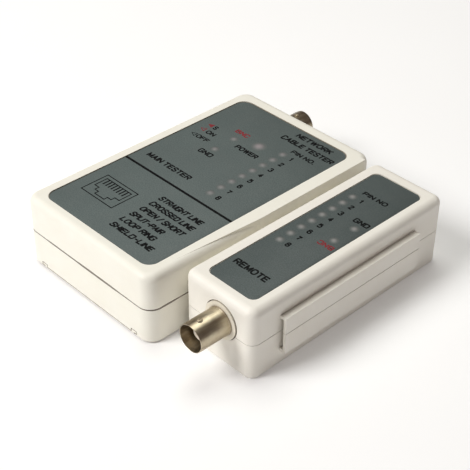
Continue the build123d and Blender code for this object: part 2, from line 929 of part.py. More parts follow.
def battery_lead(order):
    """One lead from the clip's edge, over the bay wall and down to the board."""
    start_y = battery_y + clip_plate_width / 2
    run_z = bay_wall_top + lead_over_wall + order * lead_spacing
    end_y = start_y + lead_reach + order * lead_spacing
    points = [(start_y, run_z), (end_y, run_z), (end_y, main_board_top)]
    with BuildPart() as lead:
        with BuildLine(Plane.YZ.offset(lead_x)) as route:
            FilletPolyline(*points, radius=lead_bend)
        with BuildSketch(Plane(origin=route.line @ 0, z_dir=route.line % 0)):
            Circle(lead_radius)
        sweep(path=route.line)
    return lead.part


def coax_relief(x, wall_y):
    """The room in a seam lip for a connector's moulded block."""
    half = coax_body_width / 2 + clearance
    reach = wall + lip_clearance + lip_thickness + clearance
    return block((x - half, wall_y - reach, floor), (x + half, wall_y + reach, roof_bottom))


# ---- Main unit ----
main_coax = wall_plane(main_coax_x, main_back, main_coax_z, 1)
main_board_front = bay_wall_back + board_front_gap
main_standoffs = [
    (-24.0, main_board_front + 4.5),
    (15.0, main_board_front + 4.0),
    (0.1, main_back - screw_inset_y),
]
with BuildPart() as main_openings:
    add(coax_hole(main_coax))
    add(jack_opening(main_jack_x, main_board_top, main_back))
    add(switch_slot(-main_right - 1, -main_right + wall + 1))
with BuildPart() as main_reliefs:
    add(coax_relief(main_coax_x, main_back))
    add(
        block(
            (-main_right, switch_centre_y - cavity_half - can_thickness - clearance, floor),
            (can_right, switch_centre_y + cavity_half + can_thickness + clearance, roof_bottom),
        )
    )
main_film = ((0, main_label_shift), main_label_width, main_label_length, main_label_corner)
main_pin_hole = (main_pin_lamps + main_status_lamps, lamp_radius + lamp_hole_clearance)
main_power_hole = ([power_lamp_place], power_lamp_radius + lamp_hole_clearance)
with BuildPart() as main_hood_top:
    add(hood(main_right, seam_top, case_height - top_edge_radius))
    add(hood_pocket(main_right), mode=Mode.SUBTRACT)
    add(shoulder())
with BuildPart() as main_hood_bottom:
    add(hood(main_right, bottom_edge_radius, seam_bottom))
    add(hood_pocket(main_right), mode=Mode.SUBTRACT)
save(
    shell_top(
        main_centre,
        main_width,
        main_length,
        main_corner,
        main_film,
        main_screws,
        main_openings.part,
        [main_pin_hole, main_power_hole],
        main_hood_top.part,
    ),
    "main_top_shell",
)
with BuildPart() as main_floor:
    add(
        shell_bottom(
            main_centre,
            main_width,
            main_length,
            main_corner,
            main_screws,
            main_standoffs,
            main_board_top,
            main_openings.part,
            main_hood_bottom.part,
            seam_lip(main_centre, main_width, main_length, main_corner, main_screws, main_reliefs.part),
        )
    )
    add(battery_bay_wall())
    add(door_opening(), mode=Mode.SUBTRACT)
save(main_floor.part, "main_bottom_shell")
save(label_film(*main_film), "main_label_film")
main_board_low = (-main_right + wall + board_side_gap, main_board_front)
main_board_high = (main_right - wall - board_side_gap, main_back - wall - board_side_gap)
save(
    circuit_board(main_board_low, main_board_high, main_board_top, main_screws, main_standoffs),
    "main_board",
)
save(board_screws(main_standoffs, main_board_top), "main_board_screws")
save(case_screws(main_screws), "main_case_screws")
save(
    lamps(main_pin_lamps, lamp_radius, lamp_rim_radius, lamp_rim_height, lamp_height),
    "main_pin_lamps",
)
save(
    lamps(main_status_lamps, lamp_radius, lamp_rim_radius, lamp_rim_height, lamp_height),
    "main_status_lamps",
)
save(
    lamps(
        [power_lamp_place], power_lamp_radius, power_lamp_rim_radius, power_lamp_rim_height, power_lamp_height
    ),
    "power_lamp",
)
with BuildPart() as main_legs:
    add(lamp_legs(main_pin_lamps + main_status_lamps, main_board_top, lamp_height))
    add(lamp_legs([power_lamp_place], main_board_top, power_lamp_height))
save(main_legs.part, "main_lamp_legs")
save(jack_housing(main_jack_x, main_board_top, main_back), "main_jack_housing")
save(jack_contacts(main_jack_x, main_board_top, main_back), "main_jack_contacts")
save(coax_body(main_coax), "main_coax_body")
save(coax_tube(main_coax, main_coax_reach), "main_coax_tube")
save(coax_core(main_coax, main_coax_reach), "main_coax_core")
save(coax_pin(main_coax, main_coax_reach), "main_coax_pin")
save(switch_can(), "switch_can")
save(switch_cavity(can_right - switch_base_thickness, can_right), "switch_base")
save(switch_pins(), "switch_pins")
save(switch_knob(), "switch_knob")
save(chip(long_chip_place, long_chip_length, main_board_top), "counter_chip")
save(chip_pins(long_chip_place, long_chip_pins, main_board_top), "counter_chip_pins")
save(chip(short_chip_place, short_chip_length, main_board_top), "timer_chip")
save(chip_pins(short_chip_place, short_chip_pins, main_board_top), "timer_chip_pins")
save(
    axial_parts(resistor_x, [y for _, y in main_pin_lamps], resistor_radius, resistor_length, main_board_top),
    "main_resistors",
)
capacitor_places = [(capacitor_x, main_board_front + step) for step in capacitor_from_board_front]
save(
    posts(capacitor_places, capacitor_radius, main_board_top, main_board_top + capacitor_height),
    "main_capacitors",
)
save(battery_case(), "battery_case")
save(battery_terminals(), "battery_terminals")
save(battery_clip(), "battery_clip")
save(battery_lead(0), "battery_lead_black")
save(battery_lead(1), "battery_lead_red")
save(
    block(
        (battery_left, battery_front, battery_top + clearance), (battery_right, battery_back, roof_bottom)
    ),
    "battery_pad",
)
save(battery_door(), "battery_door")

# ---- Remote unit ----
remote_coax = wall_plane(remote_coax_x, remote_front, remote_coax_z, -1)
remote_standoffs = [(remote_left + 25.7, -14.0), (remote_left + 4.9, 23.0)]
with BuildPart() as remote_openings:
    add(coax_hole(remote_coax))
    add(jack_opening(remote_jack_x, remote_board_top, remote_back))
remote_film = (
    (remote_x + remote_label_dx, remote_shift + remote_label_shift),
    remote_label_width,
    remote_label_length,
    remote_label_corner,
)
remote_pin_hole = (remote_pin_lamps + remote_status_lamps, lamp_radius + lamp_hole_clearance)
with BuildPart() as remote_side_top:
    add(hood(remote_right, seam_top, case_height - top_edge_radius))
    add(hood_pocket(remote_right), mode=Mode.SUBTRACT)
    add(tongue(remote_left, seam_top, case_height))
with BuildPart() as remote_side_bottom:
    add(hood(remote_right, bottom_edge_radius, seam_bottom))
    add(hood_pocket(remote_right), mode=Mode.SUBTRACT)
    add(tongue(remote_left, 0, seam_bottom))
save(
    shell_top(
        remote_centre,
        remote_width,
        remote_length,
        remote_corner,
        remote_film,
        remote_screws,
        remote_openings.part,
        [remote_pin_hole],
        remote_side_top.part,
    ),
    "remote_top_shell",
)
save(
    shell_bottom(
        remote_centre,
        remote_width,
        remote_length,
        remote_corner,
        remote_screws,
        remote_standoffs,
        remote_board_top,
        remote_openings.part,
        remote_side_bottom.part,
        seam_lip(
            remote_centre,
            remote_width,
            remote_length,
            remote_corner,
            remote_screws,
            coax_relief(remote_coax_x, remote_front),
        ),
    ),
    "remote_bottom_shell",
)
save(label_film(*remote_film), "remote_label_film")
remote_board_low = (remote_left + wall + board_side_gap, remote_front + wall + board_side_gap)
remote_board_high = (remote_right - wall - board_side_gap, remote_back - wall - board_side_gap)
save(
    circuit_board(remote_board_low, remote_board_high, remote_board_top, remote_screws, remote_standoffs),
    "remote_board",
)
save(board_screws(remote_standoffs, remote_board_top), "remote_board_screws")
save(case_screws(remote_screws), "remote_case_screws")
save(lamps(remote_pin_lamps, lamp_radius, lamp_rim_radius, lamp_rim_height, lamp_height), "remote_pin_lamps")
save(
    lamps(remote_status_lamps, lamp_radius, lamp_rim_radius, lamp_rim_height, lamp_height),
    "remote_status_lamps",
)
save(lamp_legs(remote_pin_lamps + remote_status_lamps, remote_board_top, lamp_height), "remote_lamp_legs")
save(jack_housing(remote_jack_x, remote_board_top, remote_back), "remote_jack_housing")
save(jack_contacts(remote_jack_x, remote_board_top, remote_back), "remote_jack_contacts")
save(coax_body(remote_coax), "remote_coax_body")
save(coax_tube(remote_coax, remote_coax_reach), "remote_coax_tube")
save(coax_core(remote_coax, remote_coax_reach), "remote_coax_core")
save(coax_pin(remote_coax, remote_coax_reach), "remote_coax_pin")
save(
    axial_parts(diode_x, [y for _, y in remote_pin_lamps], diode_radius, diode_length, remote_board_top),
    "remote_diodes",
)
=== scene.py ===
import math

import bmesh
import bpy
from mathutils import Matrix, Vector


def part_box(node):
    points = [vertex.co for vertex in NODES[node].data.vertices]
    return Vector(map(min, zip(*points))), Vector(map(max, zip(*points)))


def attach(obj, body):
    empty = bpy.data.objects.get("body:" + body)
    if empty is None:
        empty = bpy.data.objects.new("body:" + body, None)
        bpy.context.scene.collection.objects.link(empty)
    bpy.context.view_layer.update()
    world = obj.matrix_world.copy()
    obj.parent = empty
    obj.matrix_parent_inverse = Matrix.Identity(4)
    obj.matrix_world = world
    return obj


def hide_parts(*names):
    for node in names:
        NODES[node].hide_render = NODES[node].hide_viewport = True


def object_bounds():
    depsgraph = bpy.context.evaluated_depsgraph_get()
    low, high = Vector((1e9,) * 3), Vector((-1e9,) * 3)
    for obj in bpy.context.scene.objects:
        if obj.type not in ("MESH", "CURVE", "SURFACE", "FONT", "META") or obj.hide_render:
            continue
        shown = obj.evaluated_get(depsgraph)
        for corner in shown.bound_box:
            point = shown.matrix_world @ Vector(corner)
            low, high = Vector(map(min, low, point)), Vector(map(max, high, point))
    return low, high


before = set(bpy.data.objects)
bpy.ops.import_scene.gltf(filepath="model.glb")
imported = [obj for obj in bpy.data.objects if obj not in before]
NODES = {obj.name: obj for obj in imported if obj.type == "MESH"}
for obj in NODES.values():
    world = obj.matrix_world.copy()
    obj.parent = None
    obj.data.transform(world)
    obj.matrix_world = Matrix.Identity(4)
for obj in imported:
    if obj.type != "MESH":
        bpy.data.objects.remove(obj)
cad_low, cad_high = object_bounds()

# A network cable tester: a main unit, with a remote unit docked on its right side.
# Metres. +X is the labels' reading direction, +Y the main unit's socket end, +Z up.

MM = 0.001
MAIN = "main_tester"
REMOTE = "remote_tester"
KNOB = "switch_knob"
SEAM_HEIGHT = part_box("main_top_shell")[0].z - 0.1 * MM


# ---- Node helpers ----
def shade(red, green, blue):
    """A colour as the linear values that shaders take, from display values up to 255."""
    parts = [part / 255 for part in (red, green, blue)]
    linear = [part / 12.92 if part < 0.04 else ((part + 0.055) / 1.055) ** 2.4 for part in parts]
    return (*linear, 1.0)


def put(tree, kind, values=None, **settings):
    """Add one shader node; a socket among its values is linked, anything else is set."""
    node = tree.nodes.new("ShaderNode" + kind)
    for name, setting in settings.items():
        setattr(node, name, setting)
    for name, value in (values or {}).items():
        if isinstance(value, bpy.types.NodeSocket):
            tree.links.new(value, node.inputs[name])
        else:
            node.inputs[name].default_value = value
    return node


def maths(tree, operation, first, second=0.5, clamp=False):
    """One sum of two values."""
    return put(tree, "Math", {0: first, 1: second}, operation=operation, use_clamp=clamp).outputs[0]


def mixed(tree, factor, first, second, blend="MIX"):
    """One colour mixed into another."""
    node = put(tree, "Mix", {0: factor, 6: first, 7: second}, data_type="RGBA", blend_type=blend)
    return node.outputs[2]


def ranged(tree, value, low, high, out_low, out_high):
    """A value stretched from one range to another and held inside it."""
    values = {"Value": value, "From Min": low, "From Max": high, "To Min": out_low, "To Max": out_high}
    return put(tree, "MapRange", values).outputs[0]


def new_group(name, inputs, outputs):
    """An empty shader group with named inputs and outputs."""
    group = bpy.data.node_groups.new(name, "ShaderNodeTree")
    for label, kind, value in inputs:
        socket = group.interface.new_socket(label, in_out="INPUT", socket_type="NodeSocket" + kind)
        socket.default_value = value
    for label, kind in outputs:
        group.interface.new_socket(label, in_out="OUTPUT", socket_type="NodeSocket" + kind)
    return group, group.nodes.new("NodeGroupInput"), group.nodes.new("NodeGroupOutput")


def use_group(tree, group, **values):
    """Place a shared group in a material; words in a value's name are joined by underscores."""
    node = tree.nodes.new("ShaderNodeGroup")
    node.node_tree = group
    for name, value in values.items():
        node.inputs[name.replace("_", " ").capitalize()].default_value = value
    return node


# ---- Shared effects ----
def make_grain():
    """Fine moulded grain, and slow drifts of tone over the surface."""
    group, start, end = new_group(
        "surface_grain",
        [("Grain size", "Float", 0.3 * MM), ("Drift size", "Float", 12 * MM)],
        [("Height", "Float"), ("Drift", "Float"), ("Speck", "Float")],
    )
    place = put(group, "TexCoord").outputs["Object"]
    fine = maths(group, "DIVIDE", 1.0, start.outputs["Grain size"])
    slow = maths(group, "DIVIDE", 1.0, start.outputs["Drift size"])
    grain = put(group, "TexNoise", {"Vector": place, "Scale": fine, "Detail": 3.0, "Roughness": 0.55})
    drift = put(group, "TexNoise", {"Vector": place, "Scale": slow, "Detail": 4.0, "Roughness": 0.6})
    speck = put(group, "TexVoronoi", {"Vector": place, "Scale": maths(group, "MULTIPLY", fine, 0.35)})
    group.links.new(grain.outputs["Fac"], end.inputs["Height"])
    group.links.new(ranged(group, drift.outputs["Fac"], 0.3, 0.7, 0.0, 1.0), end.inputs["Drift"])
    group.links.new(ranged(group, speck.outputs["Distance"], 0.08, 0.2, 1.0, 0.0), end.inputs["Speck"])
    return group


def make_wear():
    """A mask along worn edges, broken up, and a mask of the tight corners that little light reaches, for
    painted shade there.
    """
    group, start, end = new_group(
        "edge_wear",
        [("Edge width", "Float", 0.3 * MM), ("Corner reach", "Float", 1.0 * MM)],
        [("Edge", "Float"), ("Corner shade", "Float")],
    )
    softened = put(group, "Bevel", {"Radius": start.outputs["Edge width"]}, samples=4)
    normal = put(group, "NewGeometry").outputs["Normal"]
    facing = put(group, "VectorMath", {0: softened.outputs[0], 1: normal}, operation="DOT_PRODUCT")
    place = put(group, "TexCoord").outputs["Object"]
    breaks = put(group, "TexNoise", {"Vector": place, "Scale": 900.0, "Detail": 3.0})
    edge = ranged(group, facing.outputs["Value"], 0.995, 0.86, 0.0, 1.0)
    broken = maths(group, "MULTIPLY", edge, ranged(group, breaks.outputs["Fac"], 0.35, 0.65, 0.25, 1.0))
    # Ambient occlusion finds the tight corners; plastic is darkened there as painted shade.
    open_sky = put(group, "AmbientOcclusion", {"Distance": start.outputs["Corner reach"]}, samples=6)
    corner_shade = ranged(group, open_sky.outputs["AO"], 0.35, 0.85, 1.0, 0.0)
    group.links.new(broken, end.inputs["Edge"])
    group.links.new(corner_shade, end.inputs["Corner shade"])
    return group


def make_dust():
    """A mask of thin dust on faces that look up."""
    group, start, end = new_group("settled_dust", [("Amount", "Float", 0.2)], [("Dust", "Float")])
    normal = put(group, "NewGeometry").outputs["Normal"]
    up = put(group, "SeparateXYZ", {0: normal}).outputs["Z"]
    place = put(group, "TexCoord").outputs["Object"]
    cloud = put(group, "TexNoise", {"Vector": place, "Scale": 160.0, "Detail": 6.0, "Roughness": 0.7})
    lying = ranged(group, up, 0.5, 1.0, 0.0, 1.0)
    patchy = maths(group, "MULTIPLY", lying, ranged(group, cloud.outputs["Fac"], 0.4, 0.75, 0.0, 1.0))
    group.links.new(maths(group, "MULTIPLY", patchy, start.outputs["Amount"]), end.inputs["Dust"])
    return group


GRAIN = make_grain()
WEAR = make_wear()
DUST = make_dust()

# Painted shade: the brown that tight corners of moulded plastic are darkened towards.
CORNER_SHADE_TINT = shade(132, 112, 90)
# Dirt and painted shade along the seam where a case's halves meet.
SEAM_DIRT_AND_SHADE = shade(92, 74, 56)
DUST_ON_PLASTIC = shade(214, 208, 196)
DUST_ON_FILM = shade(170, 168, 162)
PRINT_SPECK = shade(126, 132, 132)
# Painted reflection: the dark bands that a plated tube's surroundings would mirror along it.
DARK_REFLECTION = shade(112, 92, 70)
RUBBED_METAL = shade(240, 236, 226)
LAMP_CLOUD = shade(150, 146, 146)
AGED_PAINT = shade(120, 96, 70)


# ---- Materials ----
def start_material(name):
    """A new material with its shader, ready for its colours."""
    material = bpy.data.materials.new(name)
    material.use_nodes = True
    tree = material.node_tree
    return material, tree, tree.nodes["Principled BSDF"]


def connect(tree, shader, colour, roughness, height=None, depth=0.0):
    """Feed a shader its colour and roughness, and bumps of a given depth."""
    tree.links.new(colour, shader.inputs["Base Color"])
    tree.links.new(roughness, shader.inputs["Roughness"])
    if height is not None:
        bump = put(tree, "Bump", {"Height": height, "Distance": depth, "Strength": 1.0})
        tree.links.new(bump.outputs[0], shader.inputs["Normal"])


def seam_dirt_and_shade(tree):
    """A mask along the line where a case's halves meet, wider and narrower by turns: dirt in the seam and
    painted shade of the gap.
    """
    place = put(tree, "TexCoord").outputs["Object"]
    up = put(tree, "SeparateXYZ", {0: place}).outputs["Z"]
    away = maths(tree, "ABSOLUTE", maths(tree, "SUBTRACT", up, SEAM_HEIGHT))
    turns = put(tree, "TexNoise", {"Vector": place, "Scale": 60.0, "Detail": 2.0})
    reach = ranged(tree, turns.outputs["Fac"], 0.35, 0.65, 0.22 * MM, 0.5 * MM)
    return maths(tree, "MULTIPLY", maths(tree, "LESS_THAN", away, reach), 0.8)


def moulded(name, colour, deep, worn, roughness=0.42, grain_size=0.35, depth=0.012, corner_shade=0.7, seam=False):
    """Moulded plastic: drifting tone, paler worn edges, painted shade in corners, fine moulded grain."""
    material, tree, shader = start_material(name)
    grain = use_group(tree, GRAIN, grain_size=grain_size * MM, drift_size=14 * MM)
    wear = use_group(tree, WEAR, edge_width=0.35 * MM, corner_reach=1.2 * MM)
    dust = use_group(tree, DUST, amount=0.12)
    drift = maths(tree, "MULTIPLY", grain.outputs["Drift"], 0.5)
    body = mixed(tree, drift, colour, deep)
    body = mixed(tree, maths(tree, "MULTIPLY", wear.outputs["Edge"], 0.5), body, worn)
    # Painted shade in tight corners, set by the ambient occlusion mask and its strength.
    corner_shaded = mixed(tree, 1.0, deep, CORNER_SHADE_TINT, "MULTIPLY")
    body = mixed(tree, maths(tree, "MULTIPLY", wear.outputs["Corner shade"], corner_shade), body, corner_shaded)
    if seam:
        # A darker band along the seam: dirt and painted shade of the gap between the halves.
        body = mixed(tree, seam_dirt_and_shade(tree), body, SEAM_DIRT_AND_SHADE)
    body = mixed(tree, dust.outputs["Dust"], body, DUST_ON_PLASTIC)
    rough = maths(tree, "MULTIPLY_ADD", grain.outputs["Drift"], 0.1)
    rough.node.inputs[2].default_value = roughness
    connect(tree, shader, body, rough, grain.outputs["Height"], depth * MM)
    return material


def plated(name, colour, tarnish, roughness=0.2, reflection_bands=0.0):
    """Plated metal: faint drawn streaks, tarnish in drifts, brighter rubbed edges, and painted dark
    reflection bands along Y.
    """
    material, tree, shader = start_material(name)
    grain = use_group(tree, GRAIN, grain_size=0.25 * MM, drift_size=4 * MM)
    wear = use_group(tree, WEAR, edge_width=0.2 * MM, corner_reach=0.8 * MM)
    place = put(tree, "TexCoord").outputs["Object"]
    drawn = put(tree, "Mapping", {"Vector": place, "Scale": (1.0, 1.0, 6.0)})
    streaks = put(tree, "TexNoise", {"Vector": drawn.outputs[0], "Scale": 700.0, "Detail": 3.0})
    body = mixed(tree, maths(tree, "MULTIPLY", grain.outputs["Drift"], 0.45), colour, tarnish)
    # Tarnish, the plating's own patina, in the tight corners that the mask finds.
    body = mixed(tree, maths(tree, "MULTIPLY", wear.outputs["Corner shade"], 0.6), body, tarnish)
    # Painted reflections: stretched noise lays dark bands along Y in place of the surroundings mirrored in
    # the tube.
    if reflection_bands:
        drawn_out = put(tree, "Mapping", {"Vector": place, "Scale": (1.0, 0.12, 1.0)})
        patches = put(tree, "TexNoise", {"Vector": drawn_out.outputs[0], "Scale": 420.0, "Detail": 5.0})
        dark_reflections = ranged(tree, patches.outputs["Fac"], 0.42, 0.66, 0.0, reflection_bands)
        body = mixed(tree, dark_reflections, body, DARK_REFLECTION)
    body = mixed(tree, maths(tree, "MULTIPLY", wear.outputs["Edge"], 0.6), body, RUBBED_METAL)
    rough = maths(tree, "MULTIPLY_ADD", streaks.outputs["Fac"], 0.16)
    rough.node.inputs[2].default_value = roughness
    shader.inputs["Metallic"].default_value = 1.0
    connect(tree, shader, body, rough, streaks.outputs["Fac"], 0.002 * MM)
    return material


def printed_film(name, colour, deep):
    """The label's matt film: a fine leathery grain, tiny print specks and a little dust."""
    material, tree, shader = start_material(name)
    grain = use_group(tree, GRAIN, grain_size=0.42 * MM, drift_size=26 * MM)
    dust = use_group(tree, DUST, amount=0.04)
    tone = mixed(tree, maths(tree, "MULTIPLY", grain.outputs["Drift"], 0.5), colour, deep)
    fine = ranged(tree, grain.outputs["Height"], 0.35, 0.65, 0.0, 0.9)
    tone = mixed(tree, fine, tone, deep)
    tone = mixed(tree, maths(tree, "MULTIPLY", grain.outputs["Speck"], 0.14), tone, PRINT_SPECK)
    tone = mixed(tree, dust.outputs["Dust"], tone, DUST_ON_FILM)
    rough = ranged(tree, grain.outputs["Height"], 0.3, 0.7, 0.5, 0.62)
    shader.inputs["Specular IOR Level"].default_value = 0.4
    connect(tree, shader, tone, rough, grain.outputs["Height"], 0.02 * MM)
    return material


def screen_ink(name, colour, thin):
    """Screen-printed ink: thinner and paler in small patches."""
    material, tree, shader = start_material(name)
    grain = use_group(tree, GRAIN, grain_size=0.3 * MM, drift_size=1.4 * MM)
    tone = mixed(tree, maths(tree, "MULTIPLY", grain.outputs["Drift"], 0.5), colour, thin)
    rough = ranged(tree, grain.outputs["Height"], 0.3, 0.7, 0.5, 0.65)
    shader.inputs["Specular IOR Level"].default_value = 0.12
    connect(tree, shader, tone, rough, grain.outputs["Height"], 0.004 * MM)
    return material


def lamp_window(name, rim, middle):
    """Frosted film over a lamp: pale in the middle and fading into the label at its rim."""
    material, tree, shader = start_material(name)
    grain = use_group(tree, GRAIN, grain_size=0.22 * MM, drift_size=1.2 * MM)
    out = put(tree, "Attribute", attribute_name="from_middle").outputs["Fac"]
    fade = {"Value": out, "From Min": 0.0, "From Max": 0.95, "To Min": 1.0, "To Max": 0.0}
    pale = put(tree, "MapRange", fade, interpolation_type="SMOOTHSTEP")
    tone = mixed(tree, pale.outputs[0], rim, middle)
    tone = mixed(tree, maths(tree, "MULTIPLY", grain.outputs["Drift"], 0.08), tone, LAMP_CLOUD)
    rough = ranged(tree, grain.outputs["Height"], 0.3, 0.7, 0.34, 0.48)
    connect(tree, shader, tone, rough, grain.outputs["Height"], 0.01 * MM)
    return material


def banded(name, body, bands, pitch, share):
    """A small painted body with rings of colour across it, a pitch apart along X in millimetres."""
    material, tree, shader = start_material(name)
    grain = use_group(tree, GRAIN, grain_size=0.2 * MM, drift_size=2 * MM)
    place = put(tree, "TexCoord").outputs["Object"]
    along = put(tree, "SeparateXYZ", {0: place}).outputs["X"]
    turn = maths(tree, "FRACT", maths(tree, "DIVIDE", along, pitch * MM))
    painted = maths(tree, "LESS_THAN", turn, share)
    tone = mixed(tree, maths(tree, "MULTIPLY", grain.outputs["Drift"], 0.4), body, AGED_PAINT)
    tone = mixed(tree, painted, tone, bands)
    rough = ranged(tree, grain.outputs["Height"], 0.3, 0.7, 0.3, 0.45)
    connect(tree, shader, tone, rough, grain.outputs["Height"], 0.01 * MM)
    return material


def pale_floor(name):
    """A plain pale studio surface with the faintest unevenness."""
    material, tree, shader = start_material(name)
    grain = use_group(tree, GRAIN, grain_size=2 * MM, drift_size=300 * MM)
    tone = mixed(tree, grain.outputs["Drift"], shade(250, 250, 250), shade(247, 247, 247))
    rough = ranged(tree, grain.outputs["Height"], 0.3, 0.7, 0.85, 0.95)
    shader.inputs["Emission Color"].default_value = shade(255, 255, 255)
    shader.inputs["Emission Strength"].default_value = 0.13
    connect(tree, shader, tone, rough)
    return material


IVORY = moulded(
    "ivory_case",
    shade(248, 246, 235),
    shade(242, 238, 224),
    shade(255, 254, 249),
    corner_shade=0.9,
    seam=True,
)
IVORY_REMOTE = moulded(
    "ivory_remote_case",
    shade(248, 245, 236),
    shade(242, 237, 225),
    shade(255, 254, 249),
    corner_shade=0.25,
)
CREAM = moulded(
    "cream_insulator",
    shade(242, 236, 220),
    shade(230, 220, 198),
    shade(250, 247, 240),
    roughness=0.35,
)
WHITE = moulded(
    "white_insulator",
    shade(236, 228, 212),
    shade(206, 190, 166),
    shade(248, 246, 240),
    roughness=0.3,
    grain_size=0.2,
    depth=0.006,
)
BLACK = moulded(
    "black_plastic",
    shade(30, 30, 31),
    shade(20, 20, 21),
    shade(86, 86, 86),
    roughness=0.36,
    grain_size=0.25,
    depth=0.01,
    corner_shade=0.2,
)
FOAM = moulded(
    "foam",
    shade(62, 62, 66),
    shade(40, 40, 44),
    shade(96, 96, 98),
    roughness=0.85,
    grain_size=0.9,
    depth=0.25,
    corner_shade=0.5,
)
BOARD = moulded(
    "board",
    shade(38, 92, 58),
    shade(26, 70, 44),
    shade(120, 140, 96),
    roughness=0.28,
    grain_size=0.5,
    depth=0.01,
)
LAMP = moulded(
    "lamp",
    shade(204, 186, 190),
    shade(182, 160, 166),
    shade(226, 214, 216),
    roughness=0.18,
    grain_size=0.3,
    depth=0.003,
)
LEAD_BLACK = moulded("lead_black", shade(28, 27, 28), shade(18, 18, 19), shade(70, 70, 70), roughness=0.5)
LEAD_RED = moulded("lead_red", shade(164, 28, 30), shade(128, 18, 22), shade(196, 84, 80), roughness=0.48)
SLEEVE = banded("capacitor_sleeve", shade(38, 48, 84), shade(196, 200, 206), pitch=5.0, share=0.22)
JACKET = banded("battery_jacket", shade(46, 46, 50), shade(190, 142, 60), pitch=60.0, share=0.3)
RESISTOR = banded("resistor_body", shade(202, 176, 130), shade(120, 52, 34), pitch=1.3, share=0.3)
DIODE = banded("diode_glass", shade(176, 96, 50), shade(28, 26, 26), pitch=4.6, share=0.24)
NICKEL = plated("nickel", shade(206, 200, 186), shade(128, 116, 98))
COAX = plated("coax_nickel", shade(200, 190, 166), shade(150, 128, 102), roughness=0.3, reflection_bands=0.65)
STEEL = plated("screw_steel", shade(168, 168, 166), shade(104, 100, 94), roughness=0.28)
WIRE = plated("steel_wire", shade(190, 190, 190), shade(124, 122, 118), roughness=0.24)
GOLD = plated("gold", shade(226, 186, 104), shade(164, 122, 58))
FILM_MAIN = printed_film("main_label_print", shade(100, 111, 109), shade(78, 88, 87))
FILM_REMOTE = printed_film("remote_label_print", shade(88, 98, 97), shade(66, 75, 74))
INK_BLACK = screen_ink("ink_black", shade(4, 5, 6), shade(16, 18, 19))
INK_RED = screen_ink("ink_red", shade(138, 46, 52), shade(118, 56, 60))
WINDOW_MAIN = lamp_window("lamp_window_main", shade(90, 98, 96), shade(132, 130, 130))
WINDOW_POWER = lamp_window("lamp_window_power", shade(92, 100, 98), shade(150, 142, 144))
WINDOW_REMOTE = lamp_window("lamp_window_remote", shade(80, 88, 86), shade(140, 139, 137))


# ---- Mesh helpers ----
def finish_mesh(name, shape, material, body, nodes=(), sharp=35.0):
    """Turn a built shape into a smooth-shaded piece that rides on a body."""
    bmesh.ops.recalc_face_normals(shape, faces=shape.faces)
    mesh = bpy.data.meshes.new(name)
    shape.to_mesh(mesh)
    shape.free()
    mesh.shade_smooth()
    mesh.set_sharp_from_angle(angle=math.radians(sharp))
    mesh.materials.append(material)
    piece = bpy.data.objects.new(name, mesh)
    bpy.context.scene.collection.objects.link(piece)
    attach(piece, body)
    if nodes:
        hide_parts(*nodes)
    return piece


def soften(piece, width, segments=2, angle=40.0):
    """Round a piece's sharp edges by a small radius, as a mould or a tumbler leaves them."""
    weld = piece.modifiers.new("join_points", "WELD")
    weld.merge_threshold = 0.002 * MM
    flat = piece.modifiers.new("join_flats", "DECIMATE")
    flat.decimate_type = "DISSOLVE"
    flat.angle_limit = math.radians(0.6)
    edge = piece.modifiers.new("soft_edges", "BEVEL")
    edge.limit_method = "ANGLE"
    edge.angle_limit = math.radians(angle)
    edge.width = width
    edge.segments = segments
    edge.miter_outer = "MITER_ARC"
    shading = piece.modifiers.new("even_shading", "WEIGHTED_NORMAL")
    shading.keep_sharp = True


def dress(node, material, width=0.0):
    """Give a CAD node its material, and soft edges where they show."""
    piece = NODES[node]
    if piece.material_slots:
        piece.material_slots[0].material = material
    else:
        piece.data.materials.append(material)
    if width:
        soften(piece, width)
    return piece


def round_corners(centre, width, length, corner, steps=12):
    """The points of a rectangle with round corners, anticlockwise."""
    points = []
    for quarter, (side_x, side_y) in enumerate([(1, 1), (-1, 1), (-1, -1), (1, -1)]):
        middle_x = centre[0] + side_x * (width / 2 - corner)
        middle_y = centre[1] + side_y * (length / 2 - corner)
        for step in range(steps + 1):
            turn = (quarter + step / steps) * math.pi / 2
            points.append((middle_x + corner * math.cos(turn), middle_y + corner * math.sin(turn)))
    return points


def stack_loops(shape, loops, closed=True):
    """Join loops of points one after another with faces, and close both ends."""
    rings = [[shape.verts.new(point) for point in loop] for loop in loops]
    for lower, upper in zip(rings, rings[1:]):
        for i in range(len(lower)):
            j = (i + 1) % len(lower)
            shape.faces.new((lower[i], lower[j], upper[j], upper[i]))
    if closed:
        shape.faces.new(rings[0])
        shape.faces.new(rings[-1])
    return rings


def turned(profile, origin, axis, steps=72):
    """The loops of a turned body, from (distance along the axis, radius) pairs."""
    axis = Vector(axis)
    side = axis.orthogonal().normalized()
    other = axis.cross(side)
    loops = []
    for along, radius in profile:
        centre = Vector(origin) + axis * along
        turns = [step / steps * math.tau for step in range(steps)]
        loops.append([centre + (side * math.cos(t) + other * math.sin(t)) * radius for t in turns])
    return loops


def arc(centre, radius, start, stop, steps=6):
    """Points of an arc, as (along, out) pairs, between two angles in degrees."""
    turns = [math.radians(start + (stop - start) * i / steps) for i in range(steps + 1)]
    return [(centre[0] + radius * math.cos(t), centre[1] + radius * math.sin(t)) for t in turns]


# ---- Label films ----
FILM_EDGE = 0.06 * MM
FILM_CUT = 0.1 * MM
MAIN_LABEL_CORNER = 4.0 * MM
REMOTE_LABEL_CORNER = 2.5 * MM


